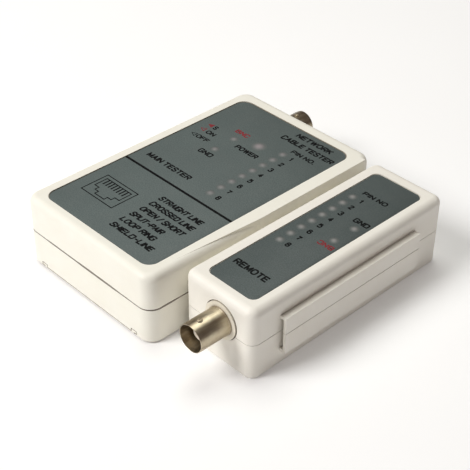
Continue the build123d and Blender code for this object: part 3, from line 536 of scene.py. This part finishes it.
def label(name, node, corner, material, body):
    """The film on a case's roof: a thin plate with round corners and a rolled edge."""
    low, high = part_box(node)
    middle = ((low.x + high.x) / 2, (low.y + high.y) / 2)
    width = high.x - low.x - 2 * FILM_CUT
    length = high.y - low.y - 2 * FILM_CUT
    section = [
        (0, low.z),
        (0, high.z - FILM_EDGE),
        (FILM_EDGE / 3, high.z - FILM_EDGE / 3),
        (FILM_EDGE, high.z),
    ]
    loops = []
    for inset, height in section:
        outline = round_corners(middle, width - 2 * inset, length - 2 * inset, corner - inset)
        loops.append([(x, y, height) for x, y in outline])
    shape = bmesh.new()
    stack_loops(shape, loops)
    return finish_mesh(name, shape, material, body, [node], 50.0)


# ---- Lamp windows ----
LAMP_REACH = 1.9 * MM
POWER_REACH = 2.9 * MM
LAMP_TIP = 0.2 * MM
WINDOW_RADIUS = 1.8 * MM
WINDOW_HEIGHT = 0.16 * MM
POWER_WINDOW_RADIUS = 2.9 * MM
POWER_WINDOW_HEIGHT = 0.19 * MM
WINDOW_FOOT = 0.05 * MM
WINDOW_LEVELS = 9
WINDOW_STEPS = 36


def lamp_places(node, reach):
    """The centres of the lamps in a node, found from the points at their tips."""
    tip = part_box(node)[1].z - LAMP_TIP
    points = [vertex.co for vertex in NODES[node].data.vertices if vertex.co.z > tip]
    places = []
    for point in points:
        if all((point.xy - place).length > reach for place in places):
            places.append(point.xy.copy())
    return [nearest_middle(points, place, reach) for place in places]


def nearest_middle(points, place, reach):
    """The middle of the points within reach of a place."""
    near = [point.xy for point in points if (point.xy - place).length < reach]
    low = Vector((min(p.x for p in near), min(p.y for p in near)))
    high = Vector((max(p.x for p in near), max(p.y for p in near)))
    return (low + high) / 2


def pin_places(node):
    """The centres of a row of pin lamps, from pin 1 at the socket end."""
    return sorted(lamp_places(node, LAMP_REACH), key=lambda place: -place.y)


def window_loop(place, radius, height):
    """One level of a window's surface: a circle of points."""
    turns = [i / WINDOW_STEPS * math.tau for i in range(WINDOW_STEPS)]
    return [(place.x + radius * math.cos(t), place.y + radius * math.sin(t), height) for t in turns]


def windows(name, places, radius, height, film_top, material, body):
    """Low bumps where the film stands over the lamps, with a bell-shaped section."""
    shape = bmesh.new()
    from_middle = shape.verts.layers.float.new("from_middle")
    shares = [1 - level / WINDOW_LEVELS for level in range(WINDOW_LEVELS)]
    for place in places:
        loops = [window_loop(place, radius, film_top - WINDOW_FOOT)]
        for share in shares:
            up = height * (0.5 + 0.5 * math.cos(math.pi * share))
            loops.append(window_loop(place, radius * share, film_top + up))
        made = stack_loops(shape, loops)
        for loop, share in zip(made, [1.0, *shares]):
            for vertex in loop:
                vertex[from_middle] = share
    return finish_mesh(name, shape, material, body, (), 60.0)


# ---- Print on the labels ----
INK_HEIGHT = 0.02 * MM
ARROW_SIZE = 2.5
ARROW_STROKE = 0.3
ICON_STROKE = 0.4
ICON_HALF_WIDTH = 8.2
ICON_HALF_HEIGHT = 5.9
ICON_CONTACT_PITCH = 1.45
ICON_CONTACT_WIDTH = 0.6


def line(*points):
    """A straight-sided stroke of a letter, broken at its corners."""
    return "line", points


def bend(*points):
    """A curved stroke that starts and ends at its outer points and rounds the rest."""
    return "bend", points


def ring(*points):
    """A closed curved stroke."""
    return "ring", points


# Letters on a grid, 4 wide and 6 high.
LETTERS = {
    "A": [line((0, 0), (2, 6), (4, 0)), line((0.8, 2), (3.2, 2))],
    "B": [
        line((0, 0), (0, 6)),
        bend((0, 6), (2.3, 6), (3.9, 6), (3.9, 3.2), (2.3, 3.2), (0, 3.2)),
        bend((0, 3.2), (2.4, 3.2), (4.3, 3.2), (4.3, 0), (2.4, 0), (0, 0)),
    ],
    "C": [bend((4, 4.5), (3.7, 6.2), (0, 6.6), (0, 3), (0, -0.6), (3.7, -0.2), (4, 1.5))],
    "D": [line((0, 0), (0, 6)), bend((0, 6), (1.9, 6), (4.3, 6), (4.3, 3), (4.3, 0), (1.9, 0), (0, 0))],
    "E": [line((3.9, 6), (0, 6), (0, 0), (4, 0)), line((0, 3.1), (3.5, 3.1))],
    "F": [line((3.9, 6), (0, 6), (0, 0)), line((0, 3.1), (3.3, 3.1))],
    "G": [
        bend((4, 4.6), (3.6, 6.2), (0, 6.6), (0, 3), (0, -0.6), (3.4, -0.3), (4, 0.8)),
        line((4, 0.5), (4, 2.8), (2.4, 2.8)),
    ],
    "H": [line((0, 0), (0, 6)), line((4, 0), (4, 6)), line((0, 3.1), (4, 3.1))],
    "I": [line((0, 0), (0, 6))],
    "K": [line((0, 0), (0, 6)), line((3.8, 6), (0, 2.2)), line((1.4, 3.6), (4, 0))],
    "L": [line((0, 6), (0, 0), (3.6, 0))],
    "M": [line((0, 0), (0, 6), (2.3, 0.8), (4.6, 6), (4.6, 0))],
    "N": [line((0, 0), (0, 6), (4, 0), (4, 6))],
    "O": [ring((0, 6.2), (4.5, 6.2), (4.5, -0.2), (0, -0.2))],
    "P": [line((0, 0), (0, 6)), bend((0, 6), (2.3, 6), (4.2, 6), (4.2, 2.8), (2.3, 2.8), (0, 2.8))],
    "R": [
        line((0, 0), (0, 6)),
        bend((0, 6), (2.3, 6), (4.2, 6), (4.2, 2.8), (2.3, 2.8), (0, 2.8)),
        line((2.2, 2.8), (4, 0)),
    ],
    "S": [bend((3.8, 4.5), (3.6, 6.2), (0.2, 6.5), (0, 3.3), (4, 2.8), (3.9, -0.5), (0.2, -0.3), (0, 1.5))],
    "T": [line((0, 6), (4, 6)), line((2, 6), (2, 0))],
    "W": [line((0, 6), (1.35, 0), (2.7, 6), (4.05, 0), (5.4, 6))],
    "1": [line((0.6, 4.7), (2, 6), (2, 0))],
    "2": [
        bend((0.2, 4.4), (0.4, 6.2), (3.9, 6.5), (3.8, 3.8), (2.2, 2.3), (0.1, 0)),
        line((0.1, 0), (3.9, 0)),
    ],
    "3": [
        bend((0.2, 4.8), (0.6, 6.2), (3.8, 6.4), (3.8, 3.2), (1.7, 3.2)),
        bend((1.7, 3.2), (4.1, 3.2), (4.1, -0.3), (0.4, -0.3), (0.1, 1.4)),
    ],
    "4": [line((2.9, 0), (2.9, 6), (0, 1.8), (4, 1.8))],
    "5": [
        line((3.6, 6), (0.6, 6), (0.3, 3)),
        bend((0.3, 3), (1.4, 4.1), (4.1, 4.2), (4.1, -0.3), (0.4, -0.4), (0.1, 1.3)),
    ],
    "6": [
        bend((3.6, 4.9), (3.2, 6.3), (0.1, 6.5), (0.1, 1.9)),
        ring((0.1, 3.8), (4, 3.8), (4, -0.1), (0.1, -0.1)),
    ],
    "7": [line((0.1, 6), (3.9, 6)), bend((3.9, 6), (2, 3.6), (1.5, 0))],
    "8": [
        ring((0.3, 6.2), (3.7, 6.2), (3.7, 3), (0.3, 3)),
        ring((0, 3.2), (4, 3.2), (4, -0.2), (0, -0.2)),
    ],
    "-": [line((0.4, 2.9), (3, 2.9))],
    "/": [line((0, -0.3), (2.4, 6.3))],
    ".": [line((0, 0), (0.25, 0))],
}
LETTER_GAP = 1.75
WORD_GAP = 2.3
LETTER_HEIGHT = 6
STROKE_OVERRUN = 0.3


def rounded(points, closed):
    """Cut a stroke's corners twice, so that it runs as a smooth curve."""
    for _ in range(2):
        following = points[1:] + points[:1] if closed else points[1:]
        cut = []
        for (x0, y0), (x1, y1) in zip(points, following):
            cut.append((0.75 * x0 + 0.25 * x1, 0.75 * y0 + 0.25 * y1))
            cut.append((0.25 * x0 + 0.75 * x1, 0.25 * y0 + 0.75 * y1))
        points = cut if closed else [points[0], *cut[1:-1], points[-1]]
    return points


def stroke_runs(words):
    """The runs of a line of words, as (points, closed) on the letter grid, and its whole width."""
    runs = []
    pen = 0.0
    for letter in words:
        if letter == " ":
            pen += WORD_GAP
            continue
        for kind, points in LETTERS[letter]:
            moved = [(x + pen, y) for x, y in points]
            if kind == "line":
                runs += [([first, second], False) for first, second in zip(moved, moved[1:])]
            else:
                runs.append((rounded(moved, kind == "ring"), kind == "ring"))
        pen = max(x for points, _ in runs for x, _ in points) + LETTER_GAP
    return runs, pen - LETTER_GAP


def ink_mesh(runs, weight):
    """A mesh of round strokes along runs of points, in millimetres."""
    ink = bpy.data.curves.new("ink", "CURVE")
    ink.dimensions = "3D"
    ink.bevel_depth = weight / 2
    ink.bevel_resolution = 2
    ink.use_fill_caps = True
    for points, closed in runs:
        spline = ink.splines.new("POLY")
        spline.points.add(len(points) - 1)
        spline.use_cyclic_u = closed
        for point, place in zip(spline.points, points):
            point.co = (*place, 1)
    holder = bpy.data.objects.new("ink", ink)
    bpy.context.scene.collection.objects.link(holder)
    bpy.context.view_layer.update()
    mesh = bpy.data.meshes.new_from_object(holder.evaluated_get(bpy.context.evaluated_depsgraph_get()))
    bpy.data.objects.remove(holder)
    bpy.data.curves.remove(ink)
    return mesh


def overrun(points, extra):
    """A straight stroke made longer at both ends, so that strokes join at their corners."""
    longer = (points[1] - points[0]).normalized() * extra
    return [points[0] - longer, points[1] + longer]


def add_words(shape, words, span, middle_y, capital, weight, film_top, slant=0.0, turned_over=False):
    """One printed line that fills a span of X places; a single letter keeps its own width."""
    left, right = span
    runs, width = stroke_runs(words)
    up = (capital - weight) / LETTER_HEIGHT
    across = up if len(words) == 1 else (right - left - weight) / width
    placed_runs = []
    for points, closed in runs:
        placed = []
        for x, y in points:
            rise = (y - LETTER_HEIGHT / 2) * up
            placed.append(Vector(((x - width / 2) * across + rise * slant, rise, 0)))
        if len(placed) == 2:
            placed = overrun(placed, STROKE_OVERRUN * weight)
        placed_runs.append((placed, closed))
    mesh = ink_mesh(placed_runs, weight)
    turn = Matrix.Rotation(math.pi if turned_over else 0.0, 4, "Z")
    flat = Matrix.Diagonal((MM, MM, 2 * INK_HEIGHT / weight, 1))
    spot = Matrix.Translation(((left + right) / 2 * MM, middle_y * MM, film_top))
    mesh.transform(spot @ turn @ flat)
    shape.from_mesh(mesh)
    bpy.data.meshes.remove(mesh)


def add_bar(shape, low, high, film_top):
    """A printed bar between two corners."""
    corners = [(low[0], low[1]), (high[0], low[1]), (high[0], high[1]), (low[0], high[1])]
    shape.faces.new([shape.verts.new((x * MM, y * MM, film_top + INK_HEIGHT)) for x, y in corners])


def add_path(shape, points, thickness, film_top):
    """A printed outline through points whose runs lie along X or Y."""
    half = thickness / 2
    for (x0, y0), (x1, y1) in zip(points, points[1:] + points[:1]):
        low = (min(x0, x1) - half, min(y0, y1) - half)
        high = (max(x0, x1) + half, max(y0, y1) + half)
        add_bar(shape, low, high, film_top)


def add_arrow(shape, tip, film_top, outlined):
    """A triangle that points towards -X, solid or as an outline."""
    tip_x, tip_y = tip
    back_x = tip_x + ARROW_SIZE
    outer = [(tip_x, tip_y), (back_x, tip_y - ARROW_SIZE / 2), (back_x, tip_y + ARROW_SIZE / 2)]
    points = [Vector((x * MM, y * MM, film_top + INK_HEIGHT)) for x, y in outer]
    if not outlined:
        shape.faces.new([shape.verts.new(point) for point in points])
        return
    middle = sum(points, Vector()) / 3
    inner = [middle + (point - middle) * (1 - 3 * ARROW_STROKE / ARROW_SIZE) for point in points]
    rim = [shape.verts.new(point) for point in points]
    hole = [shape.verts.new(point) for point in inner]
    for i in range(3):
        j = (i + 1) % 3
        shape.faces.new((rim[i], rim[j], hole[j], hole[i]))


def thicken(shape):
    """Give flat strokes their thickness, half of it sunk in the film."""
    flat = shape.faces[:]
    grown = bmesh.ops.extrude_face_region(shape, geom=flat, use_keep_orig=True)
    sunk = [item for item in grown["geom"] if isinstance(item, bmesh.types.BMVert)]
    bmesh.ops.translate(shape, verts=sunk, vec=(0, 0, -2 * INK_HEIGHT))


def finish_print(name, shape, material, body):
    """Let a colour of print ride on its case."""
    return finish_mesh(name, shape, material, body, (), 30.0)


# Sizes of print, as (height of capitals, weight of strokes) in millimetres.
TITLE = (2.7, 0.66)
HEADING = (2.5, 0.6)
SMALL_WORDS = (2.3, 0.56)
PIN_NUMBER = (2.4, 0.58)
TEST_LIST = (2.6, 0.66)
REMOTE_TITLE = (2.9, 0.68)
TURNED_WORD = (2.2, 0.52)

# Words on a label: their span along X, middle along Y, size and slant.
MAIN_BLACK_WORDS = [
    ("NETWORK", (4.4, 21.7), 43.5, TITLE, 0.1),
    ("CABLE TESTER", (1.2, 26.4), 38.8, TITLE, 0.1),
    ("PIN NO.", (10.8, 22.1), 33.9, SMALL_WORDS, 0.0),
    ("S", (-20.7, -18.9), 24.6, SMALL_WORDS, 0.0),
    ("ON", (-20.5, -16.1), 20.7, SMALL_WORDS, 0.0),
    ("OFF", (-21.0, -14.8), 16.2, SMALL_WORDS, 0.0),
    ("GND", (-13.2, -6.4), 10.4, HEADING, 0.0),
    ("POWER", (-5.7, 5.3), 21.6, HEADING, 0.0),
    ("MAIN TESTER", (-23.6, -1.0), -5.0, TITLE, 0.08),
]
MAIN_RED_WORDS = [("BNC", (-13.4, -6.7), 29.2, SMALL_WORDS, 0.0)]
REMOTE_BLACK_WORDS = [
    ("PIN NO", (46.2, 56.9), 32.9, SMALL_WORDS, 0.0),
    ("GND", (54.4, 60.9), 18.9, HEADING, 0.0),
    ("REMOTE", (43.1, 58.0), -25.3, REMOTE_TITLE, 0.0),
]
REMOTE_RED_WORD = ("BNC", (54.4, 60.9), 1.3)

# The tips of the arrows beside the switch's three places.
OFF_ARROW = (-23.9, 16.1)
ON_ARROW = (-24.0, 20.9)
SLOW_ARROW = (-23.9, 24.7)

# The list of tests at the front: each line and where it ends.
TESTS = [
    ("STRAIGHT LINE", 21.9),
    ("CROSSED LINE", 22.4),
    ("OPEN / SHORT", 22.3),
    ("SPLIT-PAIR", 16.9),
    ("LOOP RING", 17.8),
    ("SHIELD-LINE", 21.6),
]
TESTS_LEFT = 0.6
TESTS_FIRST_Y = -20.1
TESTS_PITCH = 4.27
TESTS_SLANT = 0.2

RULE_FRONT = -12.65
RULE_BACK = -11.65
RULE_INSET = 0.1
ICON_MIDDLE = (-14.3, -30.4)
MAIN_NUMBERS_X = 14.3
REMOTE_NUMBERS_X = 49.1
NUMBER_DROP = 0.1


def add_table(shape, rows, film_top):
    """All the words of one colour in a table."""
    for words, span, middle_y, size, slant in rows:
        add_words(shape, words, span, middle_y, *size, film_top, slant)


def add_numbers(shape, places, x, film_top):
    """The numbers beside a row of pin lamps."""
    for i, place in enumerate(places):
        add_words(shape, str(i + 1), (x, x), place.y / MM - NUMBER_DROP, *PIN_NUMBER, film_top)


def main_print(film_top):
    """Everything printed on the main unit's label."""
    low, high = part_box("main_label_film")
    black = bmesh.new()
    red = bmesh.new()
    rule_left = (low.x / MM + RULE_INSET, RULE_FRONT)
    rule_right = (high.x / MM - RULE_INSET, RULE_BACK)
    add_bar(black, rule_left, rule_right, film_top)
    socket_icon(black, ICON_MIDDLE, film_top)
    add_arrow(black, OFF_ARROW, film_top, outlined=True)
    add_arrow(red, SLOW_ARROW, film_top, outlined=False)
    add_arrow(red, ON_ARROW, film_top, outlined=True)
    thicken(black)
    thicken(red)
    add_table(black, MAIN_BLACK_WORDS, film_top)
    add_numbers(black, MAIN_PINS, MAIN_NUMBERS_X, film_top)
    for i, (words, right) in enumerate(TESTS):
        middle_y = TESTS_FIRST_Y - TESTS_PITCH * i
        add_words(black, words, (TESTS_LEFT, right), middle_y, *TEST_LIST, film_top, TESTS_SLANT)
    add_table(red, MAIN_RED_WORDS, film_top)
    finish_print("main_print_black", black, INK_BLACK, MAIN)
    finish_print("main_print_red", red, INK_RED, MAIN)


def socket_icon(shape, middle, film_top):
    """A picture of a modular socket: a frame, the stepped plug space and eight contacts."""
    x, y = middle
    corners = [(-1, -1), (1, -1), (1, 1), (-1, 1)]
    outline = [(x + side * ICON_HALF_WIDTH, y + end * ICON_HALF_HEIGHT) for side, end in corners]
    add_path(shape, outline, ICON_STROKE, film_top)
    half = [(6.6, 4.3), (6.6, -1.2), (4.4, -1.2), (4.4, -2.9), (2.5, -2.9), (2.5, -4.5)]
    left = [(x - across, y + up) for across, up in half]
    right = [(x + across, y + up) for across, up in reversed(half)]
    add_path(shape, left + right, ICON_STROKE, film_top)
    for i in range(8):
        contact_x = x + (i - 3.5) * ICON_CONTACT_PITCH
        low = (contact_x - ICON_CONTACT_WIDTH / 2, y + 1.0)
        high = (contact_x + ICON_CONTACT_WIDTH / 2, y + 4.3)
        add_bar(shape, low, high, film_top)


def remote_print(film_top):
    """Everything printed on the remote unit's label."""
    black = bmesh.new()
    red = bmesh.new()
    add_table(black, REMOTE_BLACK_WORDS, film_top)
    add_numbers(black, REMOTE_PINS, REMOTE_NUMBERS_X, film_top)
    add_words(red, *REMOTE_RED_WORD, *TURNED_WORD, film_top, turned_over=True)
    finish_print("remote_print_black", black, INK_BLACK, REMOTE)
    finish_print("remote_print_red", red, INK_RED, REMOTE)


# ---- Coaxial connectors ----
TUBE_RADIUS = 5.1 * MM
TUBE_BORE = 4.3 * MM
TUBE_FOOT = 3.0 * MM
FLANGE_RADIUS = 5.22 * MM
FLANGE_START = 0.5 * MM
FLANGE_STOP = 1.0 * MM
FLANGE_EDGE = 0.06 * MM
RIM_RADIUS = 0.13 * MM
RIM_DROP = 0.06 * MM
MOUTH_FLARE = 0.45 * MM
SOCKET_DEPTH = 8.4 * MM
CORE_RADIUS = 2.35 * MM
LUG_RADIUS = 0.95 * MM
LUG_BEHIND_MOUTH = 3.9 * MM
LUG_ROOT = 0.5 * MM
LUG_EDGE = 0.3 * MM
CORE_EDGE = 0.12 * MM
CORE_BORE_SHARE = 0.47
PIN_BORE_SHARE = 0.6
SAME_POINT = 0.0005 * MM


def hollow_turned(shape, profile, origin, axis, steps):
    """A turned body around a hole, from a profile that closes on itself."""
    loops = turned(profile, origin, axis, steps)
    stack_loops(shape, [*loops, loops[0]], closed=False)
    bmesh.ops.remove_doubles(shape, verts=shape.verts[:], dist=SAME_POINT)


def coax_lug(shape, foot, reach, up):
    """One bayonet lug: a short stud on the tube, with a small foot and a rounded end."""
    profile = [
        (TUBE_RADIUS - LUG_ROOT, LUG_RADIUS),
        (TUBE_RADIUS, LUG_RADIUS * 1.08),
        (TUBE_RADIUS + 0.12 * MM, LUG_RADIUS),
    ]
    profile += arc((reach - LUG_EDGE, LUG_RADIUS - LUG_EDGE), LUG_EDGE, 90, 0)
    stack_loops(shape, turned(profile, foot, (0, 0, up), 28))


def coax_shell(side, body, facing):
    """The plated tube: buried foot, flange ring, rolled rim, bored inside, with two bayonet lugs."""
    node = f"{side}_coax_tube"
    low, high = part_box(node)
    wall_y = low.y + TUBE_FOOT if facing > 0 else high.y - TUBE_FOOT
    mouth = high.y - wall_y if facing > 0 else wall_y - low.y
    axis_x = (low.x + high.x) / 2
    axis_z = (low.z + high.z) / 2
    outside = [
        (-TUBE_FOOT, TUBE_RADIUS),
        (FLANGE_START, TUBE_RADIUS),
        (FLANGE_START, FLANGE_RADIUS - FLANGE_EDGE),
        (FLANGE_START + FLANGE_EDGE, FLANGE_RADIUS),
        (FLANGE_STOP, FLANGE_RADIUS),
        (FLANGE_STOP + 0.1 * MM, TUBE_RADIUS),
        (mouth - 1.0 * MM, TUBE_RADIUS),
        (mouth - 0.8 * MM, TUBE_RADIUS - RIM_DROP),
    ]
    lip = arc((mouth - RIM_RADIUS, TUBE_RADIUS - RIM_DROP - RIM_RADIUS), RIM_RADIUS, 90, -90)
    inside = [
        (mouth - 1.0 * MM, TUBE_BORE + MOUTH_FLARE),
        (mouth - 3.0 * MM, TUBE_BORE),
        (mouth - SOCKET_DEPTH, TUBE_BORE),
        (mouth - SOCKET_DEPTH, CORE_RADIUS),
        (-TUBE_FOOT, CORE_RADIUS),
    ]
    shape = bmesh.new()
    hollow_turned(shape, outside + lip + inside, (axis_x, wall_y, axis_z), (0, facing, 0), 72)
    lug_y = wall_y + facing * (mouth - LUG_BEHIND_MOUTH)
    for up in (-1, 1):
        coax_lug(shape, (axis_x, lug_y, axis_z), high.z - axis_z, up)
    return finish_mesh(f"{side}_coax_shell", shape, COAX, body, [node], 38.0)


def coax_sleeve(node, body, facing, bore_share, material):
    """The insulating core or the contact in a tube: a turned sleeve with softened ends."""
    low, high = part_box(node)
    start = low.y if facing > 0 else high.y
    long = high.y - low.y
    outer = (high.x - low.x) / 2
    inner = outer * bore_share
    profile = [
        (0, outer),
        (long - CORE_EDGE, outer),
        (long, outer - CORE_EDGE),
        (long, inner + CORE_EDGE),
        (long - CORE_EDGE, inner),
        (0, inner),
    ]
    shape = bmesh.new()
    foot = ((low.x + high.x) / 2, start, (low.z + high.z) / 2)
    hollow_turned(shape, profile, foot, (0, facing, 0), 48)
    return finish_mesh(f"{node}_turned", shape, material, body, [node], 35.0)


def coax_middle(side, body, facing):
    """What stands in a coaxial tube: the insulating core and the hollow gold contact."""
    coax_sleeve(f"{side}_coax_core", body, facing, CORE_BORE_SHARE, WHITE)
    coax_sleeve(f"{side}_coax_pin", body, facing, PIN_BORE_SHARE, GOLD)


# ---- Slide switch knob ----
THUMB_HALF_WIDTH = 1.7 * MM
THUMB_HALF_HEIGHT = 1.2 * MM
KNOB_FOOT = 1.4 * MM
KNOB_FOOT_CORNER = 0.3 * MM
KNOB_FOOT_EDGE = 0.1 * MM
RIBS = 4
RIB_GROOVE = 0.3 * MM
RIB_FOOT = 0.04 * MM
RIB_TOP = 0.22 * MM
THUMB_EDGE = 0.12 * MM


def thumb_piece(shape, low, high, foot_x):
    """The ribbed part of the knob that the thumb pushes."""
    middle_y = (low.y + high.y) / 2
    middle_z = (low.z + high.z) / 2
    outline = [(foot_x, middle_y - THUMB_HALF_WIDTH)]
    for rib in range(RIBS):
        start = middle_y - THUMB_HALF_WIDTH + 2 * THUMB_HALF_WIDTH * rib / RIBS
        stop = start + 2 * THUMB_HALF_WIDTH / RIBS
        outline += [
            (low.x + RIB_GROOVE, start + RIB_FOOT),
            (low.x, start + RIB_TOP),
            (low.x, stop - RIB_TOP),
            (low.x + RIB_GROOVE, stop - RIB_FOOT),
        ]
    outline.append((foot_x, middle_y + THUMB_HALF_WIDTH))
    section = [
        (-THUMB_HALF_HEIGHT, THUMB_EDGE),
        (-THUMB_HALF_HEIGHT + THUMB_EDGE, 0),
        (THUMB_HALF_HEIGHT - THUMB_EDGE, 0),
        (THUMB_HALF_HEIGHT, THUMB_EDGE),
    ]
    loops = []
    for up, inset in section:
        loops.append([(x + inset * (x < foot_x), y, middle_z + up) for x, y in outline])
    stack_loops(shape, loops)


def knob_foot(shape, low, high, foot_x):
    """The plate that the switch can keeps in."""
    middle = ((low.y + high.y) / 2, (low.z + high.z) / 2)
    section = [
        (foot_x, KNOB_FOOT_EDGE),
        (foot_x + KNOB_FOOT_EDGE, 0),
        (high.x - KNOB_FOOT_EDGE, 0),
        (high.x, KNOB_FOOT_EDGE),
    ]
    loops = []
    for x, inset in section:
        width = high.y - low.y - 2 * inset
        height = high.z - low.z - 2 * inset
        outline = round_corners(middle, width, height, KNOB_FOOT_CORNER, 4)
        loops.append([(x, y, z) for y, z in outline])
    stack_loops(shape, loops)


def knob():
    """The ribbed thumb piece, with the foot that the switch can keeps in."""
    low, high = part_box("switch_knob")
    foot_x = high.x - KNOB_FOOT
    shape = bmesh.new()
    thumb_piece(shape, low, high, foot_x)
    knob_foot(shape, low, high, foot_x)
    return finish_mesh("switch_thumb_piece", shape, BLACK, KNOB, ["switch_knob"], 30.0)


# ---- Building ----
CASE_EDGE = 0.3 * MM
MAIN_FILM_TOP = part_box("main_label_film")[1].z
REMOTE_FILM_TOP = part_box("remote_label_film")[1].z
MAIN_PINS = pin_places("main_pin_lamps")
REMOTE_PINS = pin_places("remote_pin_lamps")
MAIN_LAMPS = MAIN_PINS + lamp_places("main_status_lamps", LAMP_REACH)
REMOTE_LAMPS = REMOTE_PINS + lamp_places("remote_status_lamps", LAMP_REACH)
POWER_LAMP = lamp_places("power_lamp", POWER_REACH)

for node in ("main_top_shell", "main_bottom_shell", "battery_door"):
    dress(node, IVORY, CASE_EDGE)
for node in ("remote_top_shell", "remote_bottom_shell"):
    dress(node, IVORY_REMOTE, CASE_EDGE)

label("main_label", "main_label_film", MAIN_LABEL_CORNER, FILM_MAIN, MAIN)
label("remote_label", "remote_label_film", REMOTE_LABEL_CORNER, FILM_REMOTE, REMOTE)
windows(
    "main_lamp_windows",
    MAIN_LAMPS,
    WINDOW_RADIUS,
    WINDOW_HEIGHT,
    MAIN_FILM_TOP,
    WINDOW_MAIN,
    MAIN,
)
windows(
    "power_lamp_window",
    POWER_LAMP,
    POWER_WINDOW_RADIUS,
    POWER_WINDOW_HEIGHT,
    MAIN_FILM_TOP,
    WINDOW_POWER,
    MAIN,
)
windows(
    "remote_lamp_windows",
    REMOTE_LAMPS,
    WINDOW_RADIUS,
    WINDOW_HEIGHT,
    REMOTE_FILM_TOP,
    WINDOW_REMOTE,
    REMOTE,
)
main_print(MAIN_FILM_TOP)
remote_print(REMOTE_FILM_TOP)

coax_shell("main", MAIN, 1)
coax_shell("remote", REMOTE, -1)
coax_middle("main", MAIN, 1)
coax_middle("remote", REMOTE, -1)
knob()

# The other pieces: each one's material and the radius of its soft edges in millimetres.
OTHER_PIECES = {
    "main_coax_body": (CREAM, 0.15),
    "remote_coax_body": (CREAM, 0.15),
    "main_jack_housing": (BLACK, 0.12),
    "remote_jack_housing": (BLACK, 0.12),
    "main_jack_contacts": (GOLD, 0.0),
    "remote_jack_contacts": (GOLD, 0.0),
    "main_case_screws": (STEEL, 0.08),
    "remote_case_screws": (STEEL, 0.08),
    "main_board_screws": (STEEL, 0.08),
    "remote_board_screws": (STEEL, 0.08),
    "main_board": (BOARD, 0.0),
    "remote_board": (BOARD, 0.0),
    "main_pin_lamps": (LAMP, 0.0),
    "main_status_lamps": (LAMP, 0.0),
    "power_lamp": (LAMP, 0.0),
    "remote_pin_lamps": (LAMP, 0.0),
    "remote_status_lamps": (LAMP, 0.0),
    "main_lamp_legs": (WIRE, 0.0),
    "remote_lamp_legs": (WIRE, 0.0),
    "switch_can": (NICKEL, 0.06),
    "switch_base": (BOARD, 0.0),
    "switch_pins": (WIRE, 0.0),
    "counter_chip": (BLACK, 0.1),
    "counter_chip_pins": (WIRE, 0.0),
    "timer_chip": (BLACK, 0.1),
    "timer_chip_pins": (WIRE, 0.0),
    "main_resistors": (RESISTOR, 0.0),
    "remote_diodes": (DIODE, 0.0),
    "main_capacitors": (SLEEVE, 0.3),
    "battery_case": (JACKET, 0.0),
    "battery_terminals": (NICKEL, 0.1),
    "battery_clip": (BLACK, 0.1),
    "battery_lead_black": (LEAD_BLACK, 0.0),
    "battery_lead_red": (LEAD_RED, 0.0),
    "battery_pad": (FOAM, 0.3),
}
for node, (material, edge) in OTHER_PIECES.items():
    dress(node, material, edge * MM)


# ---- Floor, light and camera ----
FLOOR_RADIUS = 3.0
FLOOR_STEPS = 64
MIDDLE = (cad_low + cad_high) / 2


def studio_floor():
    """A plain pale floor."""
    turns = [i / FLOOR_STEPS * math.tau for i in range(FLOOR_STEPS)]
    shape = bmesh.new()
    rim = [shape.verts.new((FLOOR_RADIUS * math.cos(t), FLOOR_RADIUS * math.sin(t), 0)) for t in turns]
    shape.faces.new(rim)
    mesh = bpy.data.meshes.new("floor")
    shape.to_mesh(mesh)
    shape.free()
    mesh.materials.append(pale_floor("studio_floor"))
    floor = bpy.data.objects.new("floor", mesh)
    bpy.context.scene.collection.objects.link(floor)


def soft_light(name, place, size, power, colour):
    """A round soft light turned towards the middle of the object."""
    lamp = bpy.data.lights.new(name, "AREA")
    lamp.shape = "DISK"
    lamp.size = size
    lamp.energy = power
    lamp.color = colour
    light = bpy.data.objects.new(name, lamp)
    light.location = place
    light.rotation_mode = "QUATERNION"
    light.rotation_quaternion = (MIDDLE - Vector(place)).to_track_quat("-Z", "Y")
    bpy.context.scene.collection.objects.link(light)


def studio_sky():
    """Dim light from all round, warmer low down and paler above."""
    world = bpy.data.worlds.new("studio")
    world.use_nodes = True
    tree = world.node_tree
    place = put(tree, "TexCoord").outputs["Generated"]
    up = put(tree, "SeparateXYZ", {0: place}).outputs["Z"]
    ceiling = ranged(tree, up, 0.05, 0.9, 0.0, 1.0)
    sky = mixed(tree, ceiling, shade(112, 82, 78), shade(210, 200, 196))
    tree.links.new(sky, tree.nodes["Background"].inputs["Color"])
    tree.nodes["Background"].inputs["Strength"].default_value = 0.3
    bpy.context.scene.world = world
    bpy.context.scene.view_settings.view_transform = "Standard"


def camera():
    """A camera above the front right, a little rolled, looking just in front of the middle."""
    azimuth = math.radians(46.12)
    elevation = math.radians(36.61)
    roll = math.radians(0.47)
    away = 412.24 * MM
    target = MIDDLE + Vector((-0.89, -5.42, -4.19)) * MM
    flat = math.cos(elevation)
    back = Vector((math.sin(azimuth) * flat, -math.cos(azimuth) * flat, math.sin(elevation)))
    lens = bpy.data.cameras.new("camera")
    lens.lens = 89.43
    lens.sensor_width = 36.0
    lens.clip_start = 0.01
    lens.clip_end = 20.0
    eye = bpy.data.objects.new("camera", lens)
    eye.rotation_mode = "QUATERNION"
    level = (-back).to_track_quat("-Z", "Y")
    eye.location = target + back * away
    eye.rotation_quaternion = level @ Matrix.Rotation(roll, 4, "Z").to_quaternion()
    bpy.context.scene.collection.objects.link(eye)
    bpy.context.scene.camera = eye


studio_floor()
soft_light("front_left_soft_light", (-0.36, -0.84, 0.9), 0.6, 11.6, (1.0, 0.99, 0.985))
soft_light("top_soft_light", (-0.25, 0.22, 1.0), 0.7, 4.2, (0.98, 1.0, 0.94))
studio_sky()
camera()
